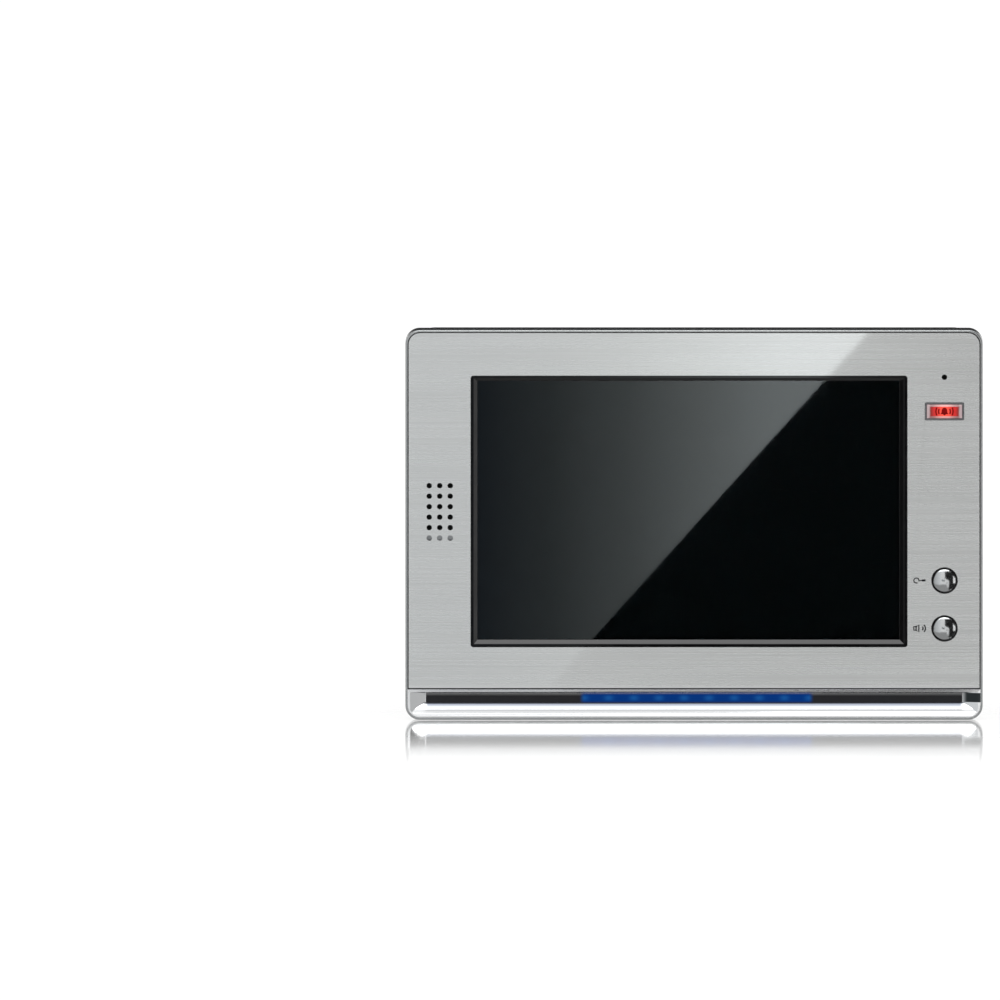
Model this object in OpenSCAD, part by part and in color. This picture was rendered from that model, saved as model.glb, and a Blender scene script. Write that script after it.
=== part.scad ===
// Indoor monitor of a video intercom, hung on a wall bracket.
// X runs to the right, Y into the wall, Z up. The origin is the middle of the bracket's wall screws,
// on the wall. The case is centred on it, and its front is at y = -body_d.

/* [Case] */
// Overall width of the case
body_w = 297; // [290:1:380]
// Overall height of the case
body_h = 201; // [196:1:260]
// Depth from the wall to the front rim
body_d = 30; // [30:1:42]
// Corner radius of the front outline
corner_r = 7.5; // [6:0.5:10]
// Shell wall
wall = 2.2; // [1.8:0.1:2.7]
// Depth of the front housing
front_d = 17; // [17:0.5:18]
// Width of the thin rim round the front
rim_w = 1.1; // [0.8:0.1:1.6]
// Rounding of the rim's outer edge
rim_edge_r = 0.6; // [0.3:0.1:0.8]
// Step between the front housing's side and the rear housing's side
rear_inset = 7; // [5:0.5:9]
// Step between the two housings at the top
rear_drop = 0.6; // [0.2:0.1:1.5]
// Corner radius of the rear housing
rear_corner_r = 8; // [7:0.5:12]
// Rounding of the rear housing's back edge
rear_edge_r = 1.5; // [0.5:0.1:1.5]

/* [Face plate] */
// Thickness of the metal plate
plate_t = 1; // [0.6:0.1:1.2]
// How far the plate lies below the rim
plate_recess = 0.3; // [0.1:0.1:0.5]
// Groove between the plate and what surrounds it
plate_gap = 0.6; // [0.3:0.1:0.9]
// Front wall of the housing behind the plate
front_wall = 2; // [1.6:0.1:2.4]

/* [Screen] */
// Width of the visible screen
screen_w = 217; // [170:1:218]
// Height of the visible screen
screen_h = 133.4; // [100:0.1:136]
// Middle of the screen to the right of the case's middle
screen_x = -2.9; // [-4:0.1:0]
// Middle of the screen above the case's middle
screen_z = 7.5; // [4:0.1:9]
// Width of the black surround on the left
surround_left = 3.5; // [3:0.1:4.5]
// Width of the black surround on the right
surround_right = 4.15; // [3:0.05:4.5]
// Width of the black surround above the screen
surround_top = 2.7; // [2.5:0.1:4.5]
// Width of the black surround below the screen
surround_bottom = 3.9; // [3:0.1:4.5]
// Thickness of the lens
lens_t = 1.5; // [1:0.1:1.6]
// Border of the display module at its sides
lcd_side = 6.25; // [5:0.05:6.5]
// Border of the display module above and below
lcd_end = 7.8; // [6:0.1:9]
// Thickness of the display module
lcd_t = 4.6; // [4:0.1:5.2]

/* [Chin] */
// Height of the polished bar
chin_h = 14.65; // [12:0.05:18]
// Depth of the polished bar
chin_t = 5.55; // [5.2:0.05:6]
// Height of the flat ledge above the cove
chin_ledge = 1.5; // [1:0.1:2]
// Depth of the cove
cove_d = 2.85; // [2:0.05:3]
// Height of the smoked light bar
bar_h = 4.8; // [4:0.1:5]
// Length of the mitred facet at each end
mitre = 7.7; // [4:0.1:10]
// Length of the lit strip
strip_w = 119; // [80:1:140]
// Number of lamps in the strip
strip_leds_n = 8; // [4:1:10]
// Spacing of the lamps
strip_pitch = 12.9; // [8:0.1:14]

/* [Speaker and microphone] */
// Middle of the grille from the left edge
speaker_edge = 17.7; // [17:0.1:20]
// Middle of the grille above the case's middle
grille_z = 6.65; // [0:0.05:20]
// Columns of grille holes
grille_cols = 3; // [2:1:3]
// Rows of grille holes
grille_rows = 6; // [3:1:7]
// Spacing of the grille holes
grille_pitch = 5.4; // [4:0.1:6]
// Diameter of each grille and microphone hole
hole_d = 2.75; // [2:0.05:3]
// Width of the speaker
speaker_w = 21; // [18:0.5:21]
// Height of the speaker
speaker_h = 42; // [36:1:50]
// Microphone hole above the case's middle
mic_z = 76.1; // [74:0.1:80]

/* [Keys] */
// Middle of the key column from the right edge
key_edge = 19.7; // [19:0.1:22]
// Unlock key above the case's middle
unlock_z = -28.7; // [-34:0.1:-20]
// Talk key above the case's middle
talk_z = -53.4; // [-60:0.1:-48]
// Diameter of the chrome caps
key_d = 11.4; // [9:0.1:12.6]
// Width of the black collar round a cap
collar_w = 1; // [0.8:0.1:1.4]
// Travel of every key
key_travel = 0.6; // [0.3:0.1:0.8]
// Alarm key above the case's middle
sos_z = 58.5; // [55:0.1:60]
// Width of the alarm key's frame
sos_w = 20; // [16:0.5:22]
// Height of the alarm key's frame
sos_h = 9; // [8:0.5:11]

/* [Side wheels] */
// Diameter of a control wheel
wheel_d = 20; // [18:0.5:21]
// Thickness of a control wheel
wheel_t = 3; // [2:0.1:3]
// How far a wheel stands out of the side
wheel_proud = 1.3; // [0.8:0.1:2]
// Height of the middle wheel above the case's middle
wheel_z = 6; // [-5:1:15]
// Spacing of the wheels
wheel_pitch = 24; // [23:0.5:27]

/* [Wall bracket] */
// Width of the bracket
bracket_w = 150; // [140:1:190]
// Height of the bracket
bracket_h = 90; // [84:1:110]
// Thickness of its sheet
bracket_t = 1.5; // [1.2:0.1:1.6]
// Screw spacing across
screw_dx = 100; // [90:1:100]
// Screw spacing up and down
screw_dz = 60; // [50:1:70]
// Screw hole diameter
screw_d = 4.5; // [4:0.1:5]
// Spacing of the two slots for a wall box
box_dx = 60; // [60:0.1:62]
// Lift that frees the monitor from the hooks
unhook = 9; // [8:0.5:10]
// Width of the cable cut-out in the bracket
cable_w = 44; // [40:1:46]
// Height of the cable cut-out in the bracket
cable_h = 30; // [26:1:34]

/* [Hidden] */
$fn = 48;
fit = 0.1;            // parts that are glued, clipped or pushed together
slip = 0.3;           // parts that move past each other
over = 1;             // how far a cutter passes a face

// Depth planes, counted from the wall
y_front = -body_d;
y_plate = y_front + plate_recess;
y_seat = y_plate + plate_t;
y_wall = y_seat + front_wall;
y_seam = y_front + front_d;
flange_t = 1.4;
y_lcd = y_wall + flange_t;
y_lcd_back = y_lcd + lcd_t;
y_chin = y_front + 0.25;
y_chin_seat = y_chin + chin_t;
y_chin_wall = y_chin_seat + front_wall;
seam_gap = 0.2;
flange_d = 2.4;
y_lip = y_seam + seam_gap;
y_flange = y_lip - flange_d;
lip_t = 2.4;
recess_d = bracket_t + 0.9;
y_recess_in = -recess_d - wall;

// Outline of the case and its pocket
x_edge = body_w / 2;
z_edge = body_h / 2;
z_chin = -z_edge + rim_w + chin_h;
z_web = z_chin + front_wall;
rear_x = x_edge - rear_inset;
rear_top = z_edge - rear_drop;
lip_w = wall + 2;

// Screen opening and the display behind it
open_x0 = screen_x - screen_w / 2 - surround_left;
open_x1 = screen_x + screen_w / 2 + surround_right;
open_z0 = screen_z - screen_h / 2 - surround_bottom;
open_z1 = screen_z + screen_h / 2 + surround_top;
open_r = 1.5;
surround_proud = 0.2;
surround_flange = 3;
land = 1.2;
y_surround = y_plate - surround_proud;
y_lens_back = y_lcd - flange_t;
y_lens = y_lens_back - lens_t;
bevel_foot = 0.25;
lens_lap = 1.6;
lcd_x0 = screen_x - screen_w / 2 - lcd_side;
lcd_x1 = screen_x + screen_w / 2 + lcd_side;
lcd_z0 = screen_z - screen_h / 2 - lcd_end;
lcd_z1 = screen_z + screen_h / 2 + lcd_end;
lcd_skin = 0.5;
glass_t = 1.4;
clamp_t = 1.2;
clamp_w = 14;
clamp_lap = 6;
lcd_boss_r = 3.2;
lcd_boss_gap = 5.5;
lcd_bosses = [for (x = [-88, 88], z = [lcd_z0 - lcd_boss_gap, lcd_z1 + lcd_boss_gap]) [screen_x + x, z]];
driver_w = 150;
driver_h = 14;
driver_t = 0.8;

// Chin, its light bar and its lamps
z_ledge = z_chin - chin_ledge;
y_cove = y_chin + cove_d;
lip_z0 = -z_edge + rim_w + 1;
bar_z1 = z_ledge - 0.75;
bar_z0 = bar_z1 - bar_h;
cove_end = 1.4;         // from the inside of the rim to the end of the cove
cove_step = 0.4;        // from the foot of a mitred end to the end of the light bar
bar_x = x_edge - rim_w - cove_end - mitre - cove_step;
bar_proud = 0.7;
bar_foot_proud = 0.1;
bar_back = 1.5;
y_bar_back = y_cove + bar_back;
strip_x = 1.3;
guide_inset = 0.65;
guide_z0 = bar_z0 + guide_inset;
guide_z1 = bar_z1 - guide_inset;
led_gap = 0.3;
led_h = 1.9;
led_boss_h = 1.8;
y_led_board = y_chin_wall + led_boss_h;
y_led = y_led_board - led_h;
led_board_t = 1;
led_board_x = strip_w / 2 + 8.5;
led_board_z0 = bar_z0 - 3.3;
led_board_z1 = bar_z1 - 1.5;
led_screw_x = strip_w / 2 + 5;
led_z = (bar_z0 + bar_z1) / 2;

// Speaker and microphone
speaker_x = -x_edge + speaker_edge;
speaker_z = grille_z + 4.85;
gasket_t = 1;
gasket_w = 1.5;
frame_w = 2;
frame_end = 6;
speaker_r = 3;
speaker_in_r = 2;
speaker_wall = 1;
y_speaker = y_wall + gasket_t;
speaker_d = 6.2;
y_speaker_back = y_speaker + speaker_d;
y_cone = y_speaker + 0.8;
cone_t = 2.8;
cone_step = 0.8;
cone_rim = 3.4;
cone_end = 7;
cone_bowl = 1.8;
cone_r = 4;
magnet_r = 8;
magnet_h = 3.5;
y_strap = y_speaker_back + magnet_h;
strap_w = 8;
strap_t = 0.8;
strap_reach = speaker_h / 2 + 4;
mic_r = 3;
mic_d = 5;
boot_r = 4.3;
boot_front = 1.5;
y_mic = y_wall + boot_front;
y_mic_back = y_mic + mic_d;

// Keys
key_x = x_edge - key_edge;
cap_r = key_d / 2;
cap_gap = 0.15;
collar_r = cap_r + collar_w;
collar_proud = 0.3;
cap_proud = 1.4;
dome_r = 14;
flange_w = 1.4;
key_flange_t = 0.8;
y_collar_back = y_wall + key_flange_t;
y_cap_flange = y_collar_back + slip;
cap_flange_t = 1;
y_cap_back = y_cap_flange + cap_flange_t;
stem_r = 1.8;
plunger_r = 1.7;
plunger_len = 2.2;
plunger_out = 1;
switch_w = 6;
switch_h = 3.5;
switch_bore_d = plunger_len + key_travel;
y_keys = y_wall + 9.1;
y_switch = y_keys - switch_h;
y_plunger = y_switch - plunger_out;
key_board_t = 1.6;
y_keys_back = y_keys + key_board_t;
key_board_w = 26;
key_board_z0 = talk_z - 18;
key_board_z1 = mic_z + 6;
key_bosses = [36, -4, talk_z - 12];
key_zs = [unlock_z, talk_z, sos_z];
sos_rim = 0.85;
sos_proud = 0.3;
y_sos = y_plate - sos_proud;
sos_stem_r = 1.5;

// Rear half: boards, posts and wheels
board_t = 1.6;
post_h = 10.8;
y_board_back = -wall - post_h;
y_board = y_board_back - board_t;
board_x0 = -96;
board_x1 = 76;
board_z0 = -51;
board_z1 = 61;
board_inset = 6;
post_r = 3;
posts = [for (x = [board_x0 + board_inset, board_x1 - board_inset],
              z = [board_z0 + board_inset, board_z1 - board_inset]) [x, z]];
chips = [[-8, 12, 22, 22, 1.6], [18, 6, 10, 12, 1.2], [18, 22, 10, 12, 1.2],
         [-40, -14, 14, 14, 1.4], [-72, 30, 10, 6, 1.5], [46, -20, 9, 9, 1.3]];
cap_spots = [[-84, -20], [-84, -6], [-72, -20], [60, 32], [60, 44]];
cap_body_r = 3.6;
cap_h = 4;
coil_spots = [[-58, 48], [-42, 48], [36, 48]];
coil_base = 9;
coil_base_t = 1;
coil_r = 4;
coil_h = 3.4;
can = [-56, 14, 18, 26];
can_h = 2.8;
can_wall = 0.4;
socket_pitch = 9.6;
socket_w = 8.4;
socket_h = 7.2;
socket_d = 7.4;
socket_wall = 0.8;
socket_floor = 1.4;
pin_pitch = 2;
pin_w = 0.6;
side_board_t = 1.2;
y_side_back = -wall - 9.2;
y_side = y_side_back - side_board_t;
wheel_x = rear_x + wheel_proud - wheel_d / 2;
y_wheel = -9.5;
y_wheel_back = y_wheel + wheel_t;
spindle_r = 2;
spindle_fit = 0.05;
spindle_head_r = 3.2;
spindle_base_r = 4;
wheel_zs = [for (i = [1, 0, -1]) wheel_z + i * wheel_pitch];
wheel_reach = wheel_d / 2 - wheel_proud - wall;
wheel_slot = 2 * sqrt(pow(wheel_d / 2, 2) - pow(wheel_reach, 2)) + 1.4;
notch_r = 0.6;
notch_out = 0.25;
notch_step = 12;
side_x0 = wheel_x - 14;
side_x1 = wheel_x + spindle_base_r - 0.3;
side_z0 = wheel_zs[2] - 14;
side_z1 = wheel_zs[0] + 14;
side_posts = [[side_x0 + 4, side_z0 + 5], [side_x0 + 4, side_z1 - 5]];

// Case screws
case_inset_x = 14;
case_inset_z = 11;
case_screws = [for (x = [-1, 1], z = [-1, 1]) [x * (x_edge - case_inset_x), z * (z_edge - case_inset_z)],
               [0, z_edge - case_inset_z]];
case_boss_r = 3.5;
well_r = 4.6;
well_bore_r = 3.1;
well_floor = 3;

// Screws: shank radius, head radius, head height
small_screw = [1, 1.9, 1.4];
case_screw = [1.5, 2.7, 2];
thread_fit = 0.05;

// Bracket
hook_w = 10;
hook_up = 6;
hook_x = screw_dx / 2 + 10;
hook_zs = [22, -34];
hook_gap = 0.5;
y_hook = y_recess_in - hook_gap - bracket_t;
hook_hole = 0.5;        // room on each side of a hook's window in the bracket
window_h = 13.5;
pocket_wall = 3.2;      // from the bracket's edge to the outside of its pocket
rear_cable_w = cable_w - 4;
rear_cable_h = cable_h - 6;
box_slot = 8;
box_slot_r = 2.1;
label_w = 90;
label_h = 14;
label_t = 0.2;
label_z = -78;
label_recess = 0.3;
vents = 9;              // vent slots on each side of the middle one
vent_pitch = 8;
vent_w = 2.4;
vent_y0 = -9.5;
vent_y1 = -4;

// ---- shape helpers -------------------------------------------------------------------------

// A shape drawn in X and Z, made solid from y0 to y1
module yex(y0, y1) translate([0, y1, 0]) rotate([90, 0, 0]) linear_extrude(y1 - y0) children();

// A shape drawn in Y and Z, made solid from x0 to x1
module xex(x0, x1) translate([x0, 0, 0]) rotate([90, 0, 90]) linear_extrude(x1 - x0) children();

// A shape drawn in X and Y, made solid from z0 to z1
module zex(z0, z1) translate([0, 0, z0]) linear_extrude(z1 - z0) children();

module block(x0, x1, y0, y1, z0, z1) translate([x0, y0, z0]) cube([x1 - x0, y1 - y0, z1 - z0]);

// A round rod along Y
module rod(x, z, y0, y1, r) translate([x, y1, z]) rotate([90, 0, 0]) cylinder(h = y1 - y0, r = r);

module rect(x0, x1, z0, z1) translate([x0, z0]) square([x1 - x0, z1 - z0]);

module round_rect(x0, x1, z0, z1, r) {
    rect(x0 + r, x1 - r, z0, z1);
    rect(x0, x1, z0 + r, z1 - r);
    for (x = [x0 + r, x1 - r], z = [z0 + r, z1 - r]) translate([x, z]) circle(r);
}

// A slot outline: round ends, its length across
module slot(x, z, length, r) {
    rect(x - length / 2 + r, x + length / 2 - r, z - r, z + r);
    for (s = [-1, 1]) translate([x + s * (length / 2 - r), z]) circle(r);
}

// The sliver that rounds a convex edge: e is the radius
module edge_sliver(e) difference() {
    square(e + over);
    circle(e);
}

// A ring of slivers round a rounded rectangle w by h, in its own plane, facing local +Z
module edge_ring(w, h, r, e) {
    for (k = [0, 1]) {
        half = k == 0 ? w / 2 : h / 2;
        run = (k == 0 ? h : w) - 2 * r;
        for (a = [0, 180]) rotate(k * 90 + a) translate([half - e, run / 2, 0]) rotate([90, 0, 0])
            linear_extrude(run) edge_sliver(e);
    }
    for (q = [0 : 3]) {
        sx = q == 0 || q == 3 ? 1 : -1;
        sz = q < 2 ? 1 : -1;
        translate([sx * (w / 2 - r), sz * (h / 2 - r), 0]) rotate(q * 90)
            rotate_extrude(angle = 90) translate([r - e, 0]) edge_sliver(e);
    }
}

// A rectangular funnel with flat sides, wider at y0 than at y1
module funnel(wide, narrow, y0, y1) {
    z_low = wide[2] - over;
    z_high = wide[3] + over;
    intersection() {
        zex(z_low, z_high)
            polygon([[wide[0], y0], [wide[1], y0], [narrow[1], y1], [narrow[0], y1]]);
        xex(wide[0] - over, wide[1] + over)
            polygon([[y0, wide[2]], [y0, wide[3]], [y1, narrow[3]], [y1, narrow[2]]]);
    }
}

// A screw whose head seats at y and points along dir: 1 towards the wall, -1 towards the room
module screw(x, z, y, length, size, dir) {
    cross_w = size[0] * 0.45;
    cross_l = size[1] * 1.1;
    translate([x, y, z]) rotate([-90 * dir, 0, 0]) difference() {
        union() {
            translate([0, 0, -length]) cylinder(h = length, r = size[0]);
            cylinder(h = size[2] * 0.6, r = size[1]);
            translate([0, 0, size[2] * 0.6]) cylinder(h = size[2] * 0.4, r1 = size[1], r2 = size[1] * 0.72);
        }
        for (a = [0, 90]) rotate(a) translate([-cross_l / 2, -cross_w / 2, size[2] * 0.45])
            cube([cross_l, cross_w, size[2]]);
    }
}

// A flat lead drawn as a strip between two levels: from (a0..a1) at depth ya to (b0..b1) at depth yb
function lead_path(a0, a1, ya, b0, b1, yb, t) = [
    [a0, ya], [a1, ya], [b0, yb], [b1, yb], [b1, yb + t], [b0, yb + t], [a1, ya + t], [a0, ya + t]
];

// ---- outlines shared by the shells ---------------------------------------------------------

module body_outline() round_rect(-x_edge, x_edge, -z_edge, z_edge, corner_r);

// The body outline drawn in by d
module inset_outline(d) round_rect(-x_edge + d, x_edge - d, -z_edge + d, z_edge - d, corner_r - d);

// The rear housing's outline drawn in by d
module rear_outline(d) round_rect(-rear_x + d, rear_x - d, -z_edge + d, rear_top - d, rear_corner_r - d);

module open_outline(d) round_rect(open_x0 + d, open_x1 - d, open_z0 + d, open_z1 - d, max(open_r - d, 0.4));

module below(z) rect(-body_w, body_w, -body_h, z);

module above(z) rect(-body_w, body_w, z, body_h);

module grille_holes(y0, y1) {
    for (i = [0 : grille_cols - 1], j = [0 : grille_rows - 1])
        rod(speaker_x + (i - (grille_cols - 1) / 2) * grille_pitch,
            grille_z + (j - (grille_rows - 1) / 2) * grille_pitch, y0, y1, hole_d / 2);
}

// Every opening in the plate, also cut through the housing's front wall behind it
module front_openings(y0, y1) {
    yex(y0, y1) open_outline(0);
    grille_holes(y0, y1);
    rod(key_x, mic_z, y0, y1, hole_d / 2);
    for (z = [unlock_z, talk_z]) rod(key_x, z, y0, y1, collar_r + fit);
    yex(y0, y1) alarm_outline(-fit);
}

// The alarm frame's outline drawn in by d
module alarm_outline(d) round_rect(key_x - sos_w / 2 + d, key_x + sos_w / 2 - d,
    sos_z - sos_h / 2 + d, sos_z + sos_h / 2 - d, 0.8);

// ---- shells --------------------------------------------------------------------------------

module front_housing() color("silver") difference() {
    union() {
        difference() {
            yex(y_front, y_seam) body_outline();
            translate([0, y_front + rim_edge_r, 0]) rotate([90, 0, 0])
                edge_ring(body_w, body_h, corner_r, rim_edge_r);
            yex(y_front - over, y_seat) inset_outline(rim_w);
            yex(y_front - over, y_chin_seat) intersection() {
                inset_outline(rim_w);
                below(z_chin);
            }
            yex(y_wall, y_seam + over) intersection() {
                inset_outline(wall);
                above(z_web);
            }
            yex(y_chin_wall, y_seam + over) inset_outline(wall);
        }
        for (p = lcd_bosses) rod(p[0], p[1], y_seat + over, y_lcd_back, lcd_boss_r);
        for (s = [-1, 1]) rod(speaker_x, speaker_z + s * strap_reach, y_seat + over, y_strap, 3);
        for (z = key_bosses) rod(key_x, z, y_seat + over, y_keys, 3);
        for (p = case_screws)
            rod(p[0], p[1], p[1] > 0 ? y_seat + over : y_chin_seat + over, y_flange, case_boss_r);
        for (s = [-1, 1])
            rod(strip_x + s * led_screw_x, led_z, y_chin_seat + over, y_led_board, 2.6);
        rod(key_x, mic_z, y_seat + over, y_wall + 3, boot_r + fit + 1);
    }
    front_openings(y_front - over, y_wall + over / 2);
    rod(key_x, mic_z, y_wall, y_wall + 4, boot_r + fit);
    for (p = lcd_bosses) screw_bore(p, y_wall, y_lcd_back, small_screw);
    for (s = [-1, 1]) screw_bore([speaker_x, speaker_z + s * strap_reach], y_strap - 8, y_strap, small_screw);
    for (z = key_bosses) screw_bore([key_x, z], y_keys - 8, y_keys, small_screw);
    for (p = case_screws) screw_bore(p, y_flange - 5, y_flange, case_screw);
    for (s = [-1, 1])
        screw_bore([strip_x + s * led_screw_x, led_z], y_led_board - 3.4, y_led_board, small_screw);
    block(strip_x - strip_w / 2 - fit, strip_x + strip_w / 2 + fit, y_chin_seat - over, y_chin_wall + over,
        guide_z0 - fit, guide_z1 + fit);
}

module screw_bore(p, y0, y1, size) rod(p[0], p[1], y0, y1 + over, size[0] + thread_fit);

module rear_housing() color("dimgray") difference() {
    union() {
        difference() {
            union() {
                yex(y_lip, 0) rear_outline(0);
                yex(y_flange, y_lip + over) inset_outline(wall + seam_gap);
            }
            translate([0, -rear_edge_r, (rear_top - z_edge) / 2]) rotate([-90, 0, 0])
                edge_ring(2 * rear_x, z_edge + rear_top, rear_corner_r, rear_edge_r);
            yex(y_flange - over, y_lip + lip_t + over) rear_outline(lip_w);
            yex(y_lip + lip_t, -wall) rear_outline(wall);
        }
        block(-bracket_w / 2 - pocket_wall, bracket_w / 2 + pocket_wall, y_recess_in, -wall + over / 2,
            -bracket_h / 2 - unhook - pocket_wall, bracket_h / 2 + pocket_wall);
        for (p = case_screws) rod(p[0], p[1], y_flange, -over, well_r);
        for (p = posts) rod(p[0], p[1], y_board_back, -wall + over / 2, post_r);
        for (p = side_posts) rod(p[0], p[1], y_side_back, -wall + over / 2, post_r);
    }
    block(-bracket_w / 2 - over, bracket_w / 2 + over, -recess_d, over,
        -bracket_h / 2 - unhook - over, bracket_h / 2 + over);
    for (s = [-1, 1], z = hook_zs)
        block(s * hook_x - hook_w / 2 - over, s * hook_x + hook_w / 2 + over, y_recess_in - over, over,
            z - bracket_t - unhook - hook_hole, z + slip);
    yex(y_recess_in - over, over)
        round_rect(-rear_cable_w / 2, rear_cable_w / 2, -rear_cable_h / 2, rear_cable_h / 2, 2);
    for (p = case_screws) {
        rod(p[0], p[1], y_flange + well_floor, over, well_bore_r);
        rod(p[0], p[1], y_flange - over, over, case_screw[0] + 0.2);
    }
    for (p = posts) screw_bore(p, y_board_back - over, y_board_back + 7, small_screw);
    for (p = side_posts) screw_bore(p, y_side_back - over, y_side_back + 6, small_screw);
    for (z = wheel_zs)
        block(rear_x - wall - over, rear_x + over, y_wheel - 0.5, y_wheel_back + 0.5,
            z - wheel_slot / 2, z + wheel_slot / 2);
    for (i = [-vents : vents])
        block(i * vent_pitch - vent_w / 2, i * vent_pitch + vent_w / 2, vent_y0, vent_y1,
            rear_top - wall - over, rear_top + over);
    block(-label_w / 2, label_w / 2, -label_recess, over, label_z - label_h / 2, label_z + label_h / 2);
}

module face_plate() color("gainsboro") difference() {
    yex(y_plate, y_seat) intersection() {
        inset_outline(rim_w + plate_gap);
        above(z_chin + plate_gap);
    }
    front_openings(y_plate - over, y_seat + over);
}

module screen_surround() color("black") difference() {
    union() {
        yex(y_surround, y_wall + over / 2) open_outline(fit);
        yex(y_wall, y_lcd) open_outline(-surround_flange);
    }
    funnel([open_x0 + land - over, open_x1 - land + over, open_z0 + land - over, open_z1 - land + over],
        [screen_x - screen_w / 2, screen_x + screen_w / 2,
         screen_z - screen_h / 2, screen_z + screen_h / 2],
        y_surround - bevel_run(), y_lens - bevel_foot);
    yex(y_lens - over, y_lens + over) screen_rect(0);
    yex(y_lens, y_lcd + over) screen_rect(lens_lap + fit);
}

// How far in front of the surround the funnel starts, so that its sides pass the land's edge
function bevel_run() = over * (y_lens - bevel_foot - y_surround) / (surround_top - land);

// The visible screen, drawn out by d
module screen_rect(d) rect(screen_x - screen_w / 2 - d, screen_x + screen_w / 2 + d,
    screen_z - screen_h / 2 - d, screen_z + screen_h / 2 + d);

module screen_lens() color("lightgray", 0.4) yex(y_lens, y_lens_back) screen_rect(lens_lap);

module window_gasket() color("dimgray") yex(y_lens_back, y_lcd) difference() {
    screen_rect(lens_lap);
    screen_rect(0.5);
}

// ---- display -------------------------------------------------------------------------------

module lcd_rect(d) rect(lcd_x0 + d, lcd_x1 - d, lcd_z0 + d, lcd_z1 - d);

module lcd_frame() color("lightsteelblue") difference() {
    yex(y_lcd, y_lcd_back) lcd_rect(0);
    yex(y_lcd + lcd_skin, y_lcd_back + over) lcd_rect(lcd_skin);
    yex(y_lcd - over, y_lcd + over) screen_rect(1);
}

module lcd_panel() color("darkslategray")
    yex(y_lcd + lcd_skin, y_lcd + lcd_skin + glass_t) lcd_rect(lcd_skin + fit);

module lcd_backlight() color("white")
    yex(y_lcd + lcd_skin + glass_t, y_lcd_back) lcd_rect(lcd_skin + fit);

module lcd_driver_board() color("darkgreen")
    block(screen_x - driver_w / 2, screen_x + driver_w / 2, y_lcd_back, y_lcd_back + driver_t,
        lcd_z0 + 2, lcd_z0 + 2 + driver_h);

module lcd_flat_lead() color("goldenrod") xex(-30, 10)
    polygon([for (p = lead_path(lcd_z0 + 6, lcd_z0 + 2 + driver_h, y_lcd_back + driver_t,
        board_z0 + 4, board_z0 + 10, y_board - 0.3, 0.3)) [p[1], p[0]]]);

module lcd_clamps() color("silver") for (p = lcd_bosses) {
    up = p[1] > screen_z;
    difference() {
        block(p[0] - clamp_w / 2, p[0] + clamp_w / 2, y_lcd_back, y_lcd_back + clamp_t,
            up ? lcd_z1 - clamp_lap : p[1] - 4.5, up ? p[1] + 4.5 : lcd_z0 + clamp_lap);
        rod(p[0], p[1], y_lcd_back - over, y_lcd_back + clamp_t + over, small_screw[0] + 0.3);
    }
}

module lcd_clamp_screws() color("silver")
    for (p = lcd_bosses) screw(p[0], p[1], y_lcd_back + clamp_t, 6, small_screw, 1);

// ---- chin ----------------------------------------------------------------------------------

// The cove in the chin's section, drawn in Y and Z: flat under the ledge, a rounded lip below
module cove_section() {
    foot = [y_cove, bar_z0 - 0.2];
    brim = [y_chin, lip_z0];
    chord = brim - foot;
    half = norm(chord) / 2;
    swell = 17;
    lip_r = half / sin(swell);
    inward = [-chord[1], chord[0]] / norm(chord);
    centre = (foot + brim) / 2 + inward * lip_r * cos(swell);
    difference() {
        polygon([[y_chin - over, z_ledge + 0.2], [y_chin, z_ledge], [y_cove, bar_z1 + 0.15],
            [y_cove, lip_z0], [y_chin - over, lip_z0]]);
        translate(centre) circle(lip_r, $fn = 180);
    }
}

module chin_trim() color("whitesmoke") difference() {
    yex(y_chin, y_chin_seat) intersection() {
        inset_outline(rim_w + fit);
        below(z_chin - fit);
    }
    intersection() {
        xex(-body_w, body_w) cove_section();
        zex(-body_h, body_h) mitred_plan();
        yex(y_front - 2, y_wall) inset_outline(rim_w + 0.9);
    }
    block(-bar_x - fit, bar_x + fit, y_cove - over, y_bar_back, bar_z0 - fit, bar_z1 + fit);
    block(strip_x - strip_w / 2 - fit, strip_x + strip_w / 2 + fit, y_cove, y_chin_seat + over,
        guide_z0 - fit, guide_z1 + fit);
}

// The cove seen from above: its ends slope in from the ends of the chin
module mitred_plan() {
    foot_x = bar_x + cove_step;
    slope = mitre / cove_d;
    front_x = foot_x + slope * (cove_d + over);
    polygon([[-front_x, y_chin - over], [front_x, y_chin - over], [foot_x, y_cove], [foot_x, y_cove + over],
        [-foot_x, y_cove + over], [-foot_x, y_cove]]);
}

module light_bar() color("darkslategray") xex(-bar_x, bar_x)
    polygon([[y_cove - bar_proud, bar_z1], [y_bar_back, bar_z1], [y_bar_back, bar_z0],
        [y_cove - bar_foot_proud, bar_z0]]);

module light_guide() color("aliceblue")
    block(strip_x - strip_w / 2, strip_x + strip_w / 2, y_bar_back, y_led - led_gap, guide_z0, guide_z1);

module strip_led_board() color("white") difference() {
    block(strip_x - led_board_x, strip_x + led_board_x, y_led_board, y_led_board + led_board_t,
        led_board_z0, led_board_z1);
    for (s = [-1, 1])
        rod(strip_x + s * led_screw_x, led_z, y_led_board - over, y_led_board + 2 * over,
            small_screw[0] + 0.2);
}

module strip_leds() color("lemonchiffon") for (i = [0 : strip_leds_n - 1]) {
    x = strip_x + (i - (strip_leds_n - 1) / 2) * strip_pitch;
    block(x - 1.75, x + 1.75, y_led, y_led_board, led_z - 1.4, led_z + 1.4);
}

module strip_board_screws() color("silver") for (s = [-1, 1])
    screw(strip_x + s * led_screw_x, led_z, y_led_board + led_board_t, 3.8, small_screw, 1);

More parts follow.
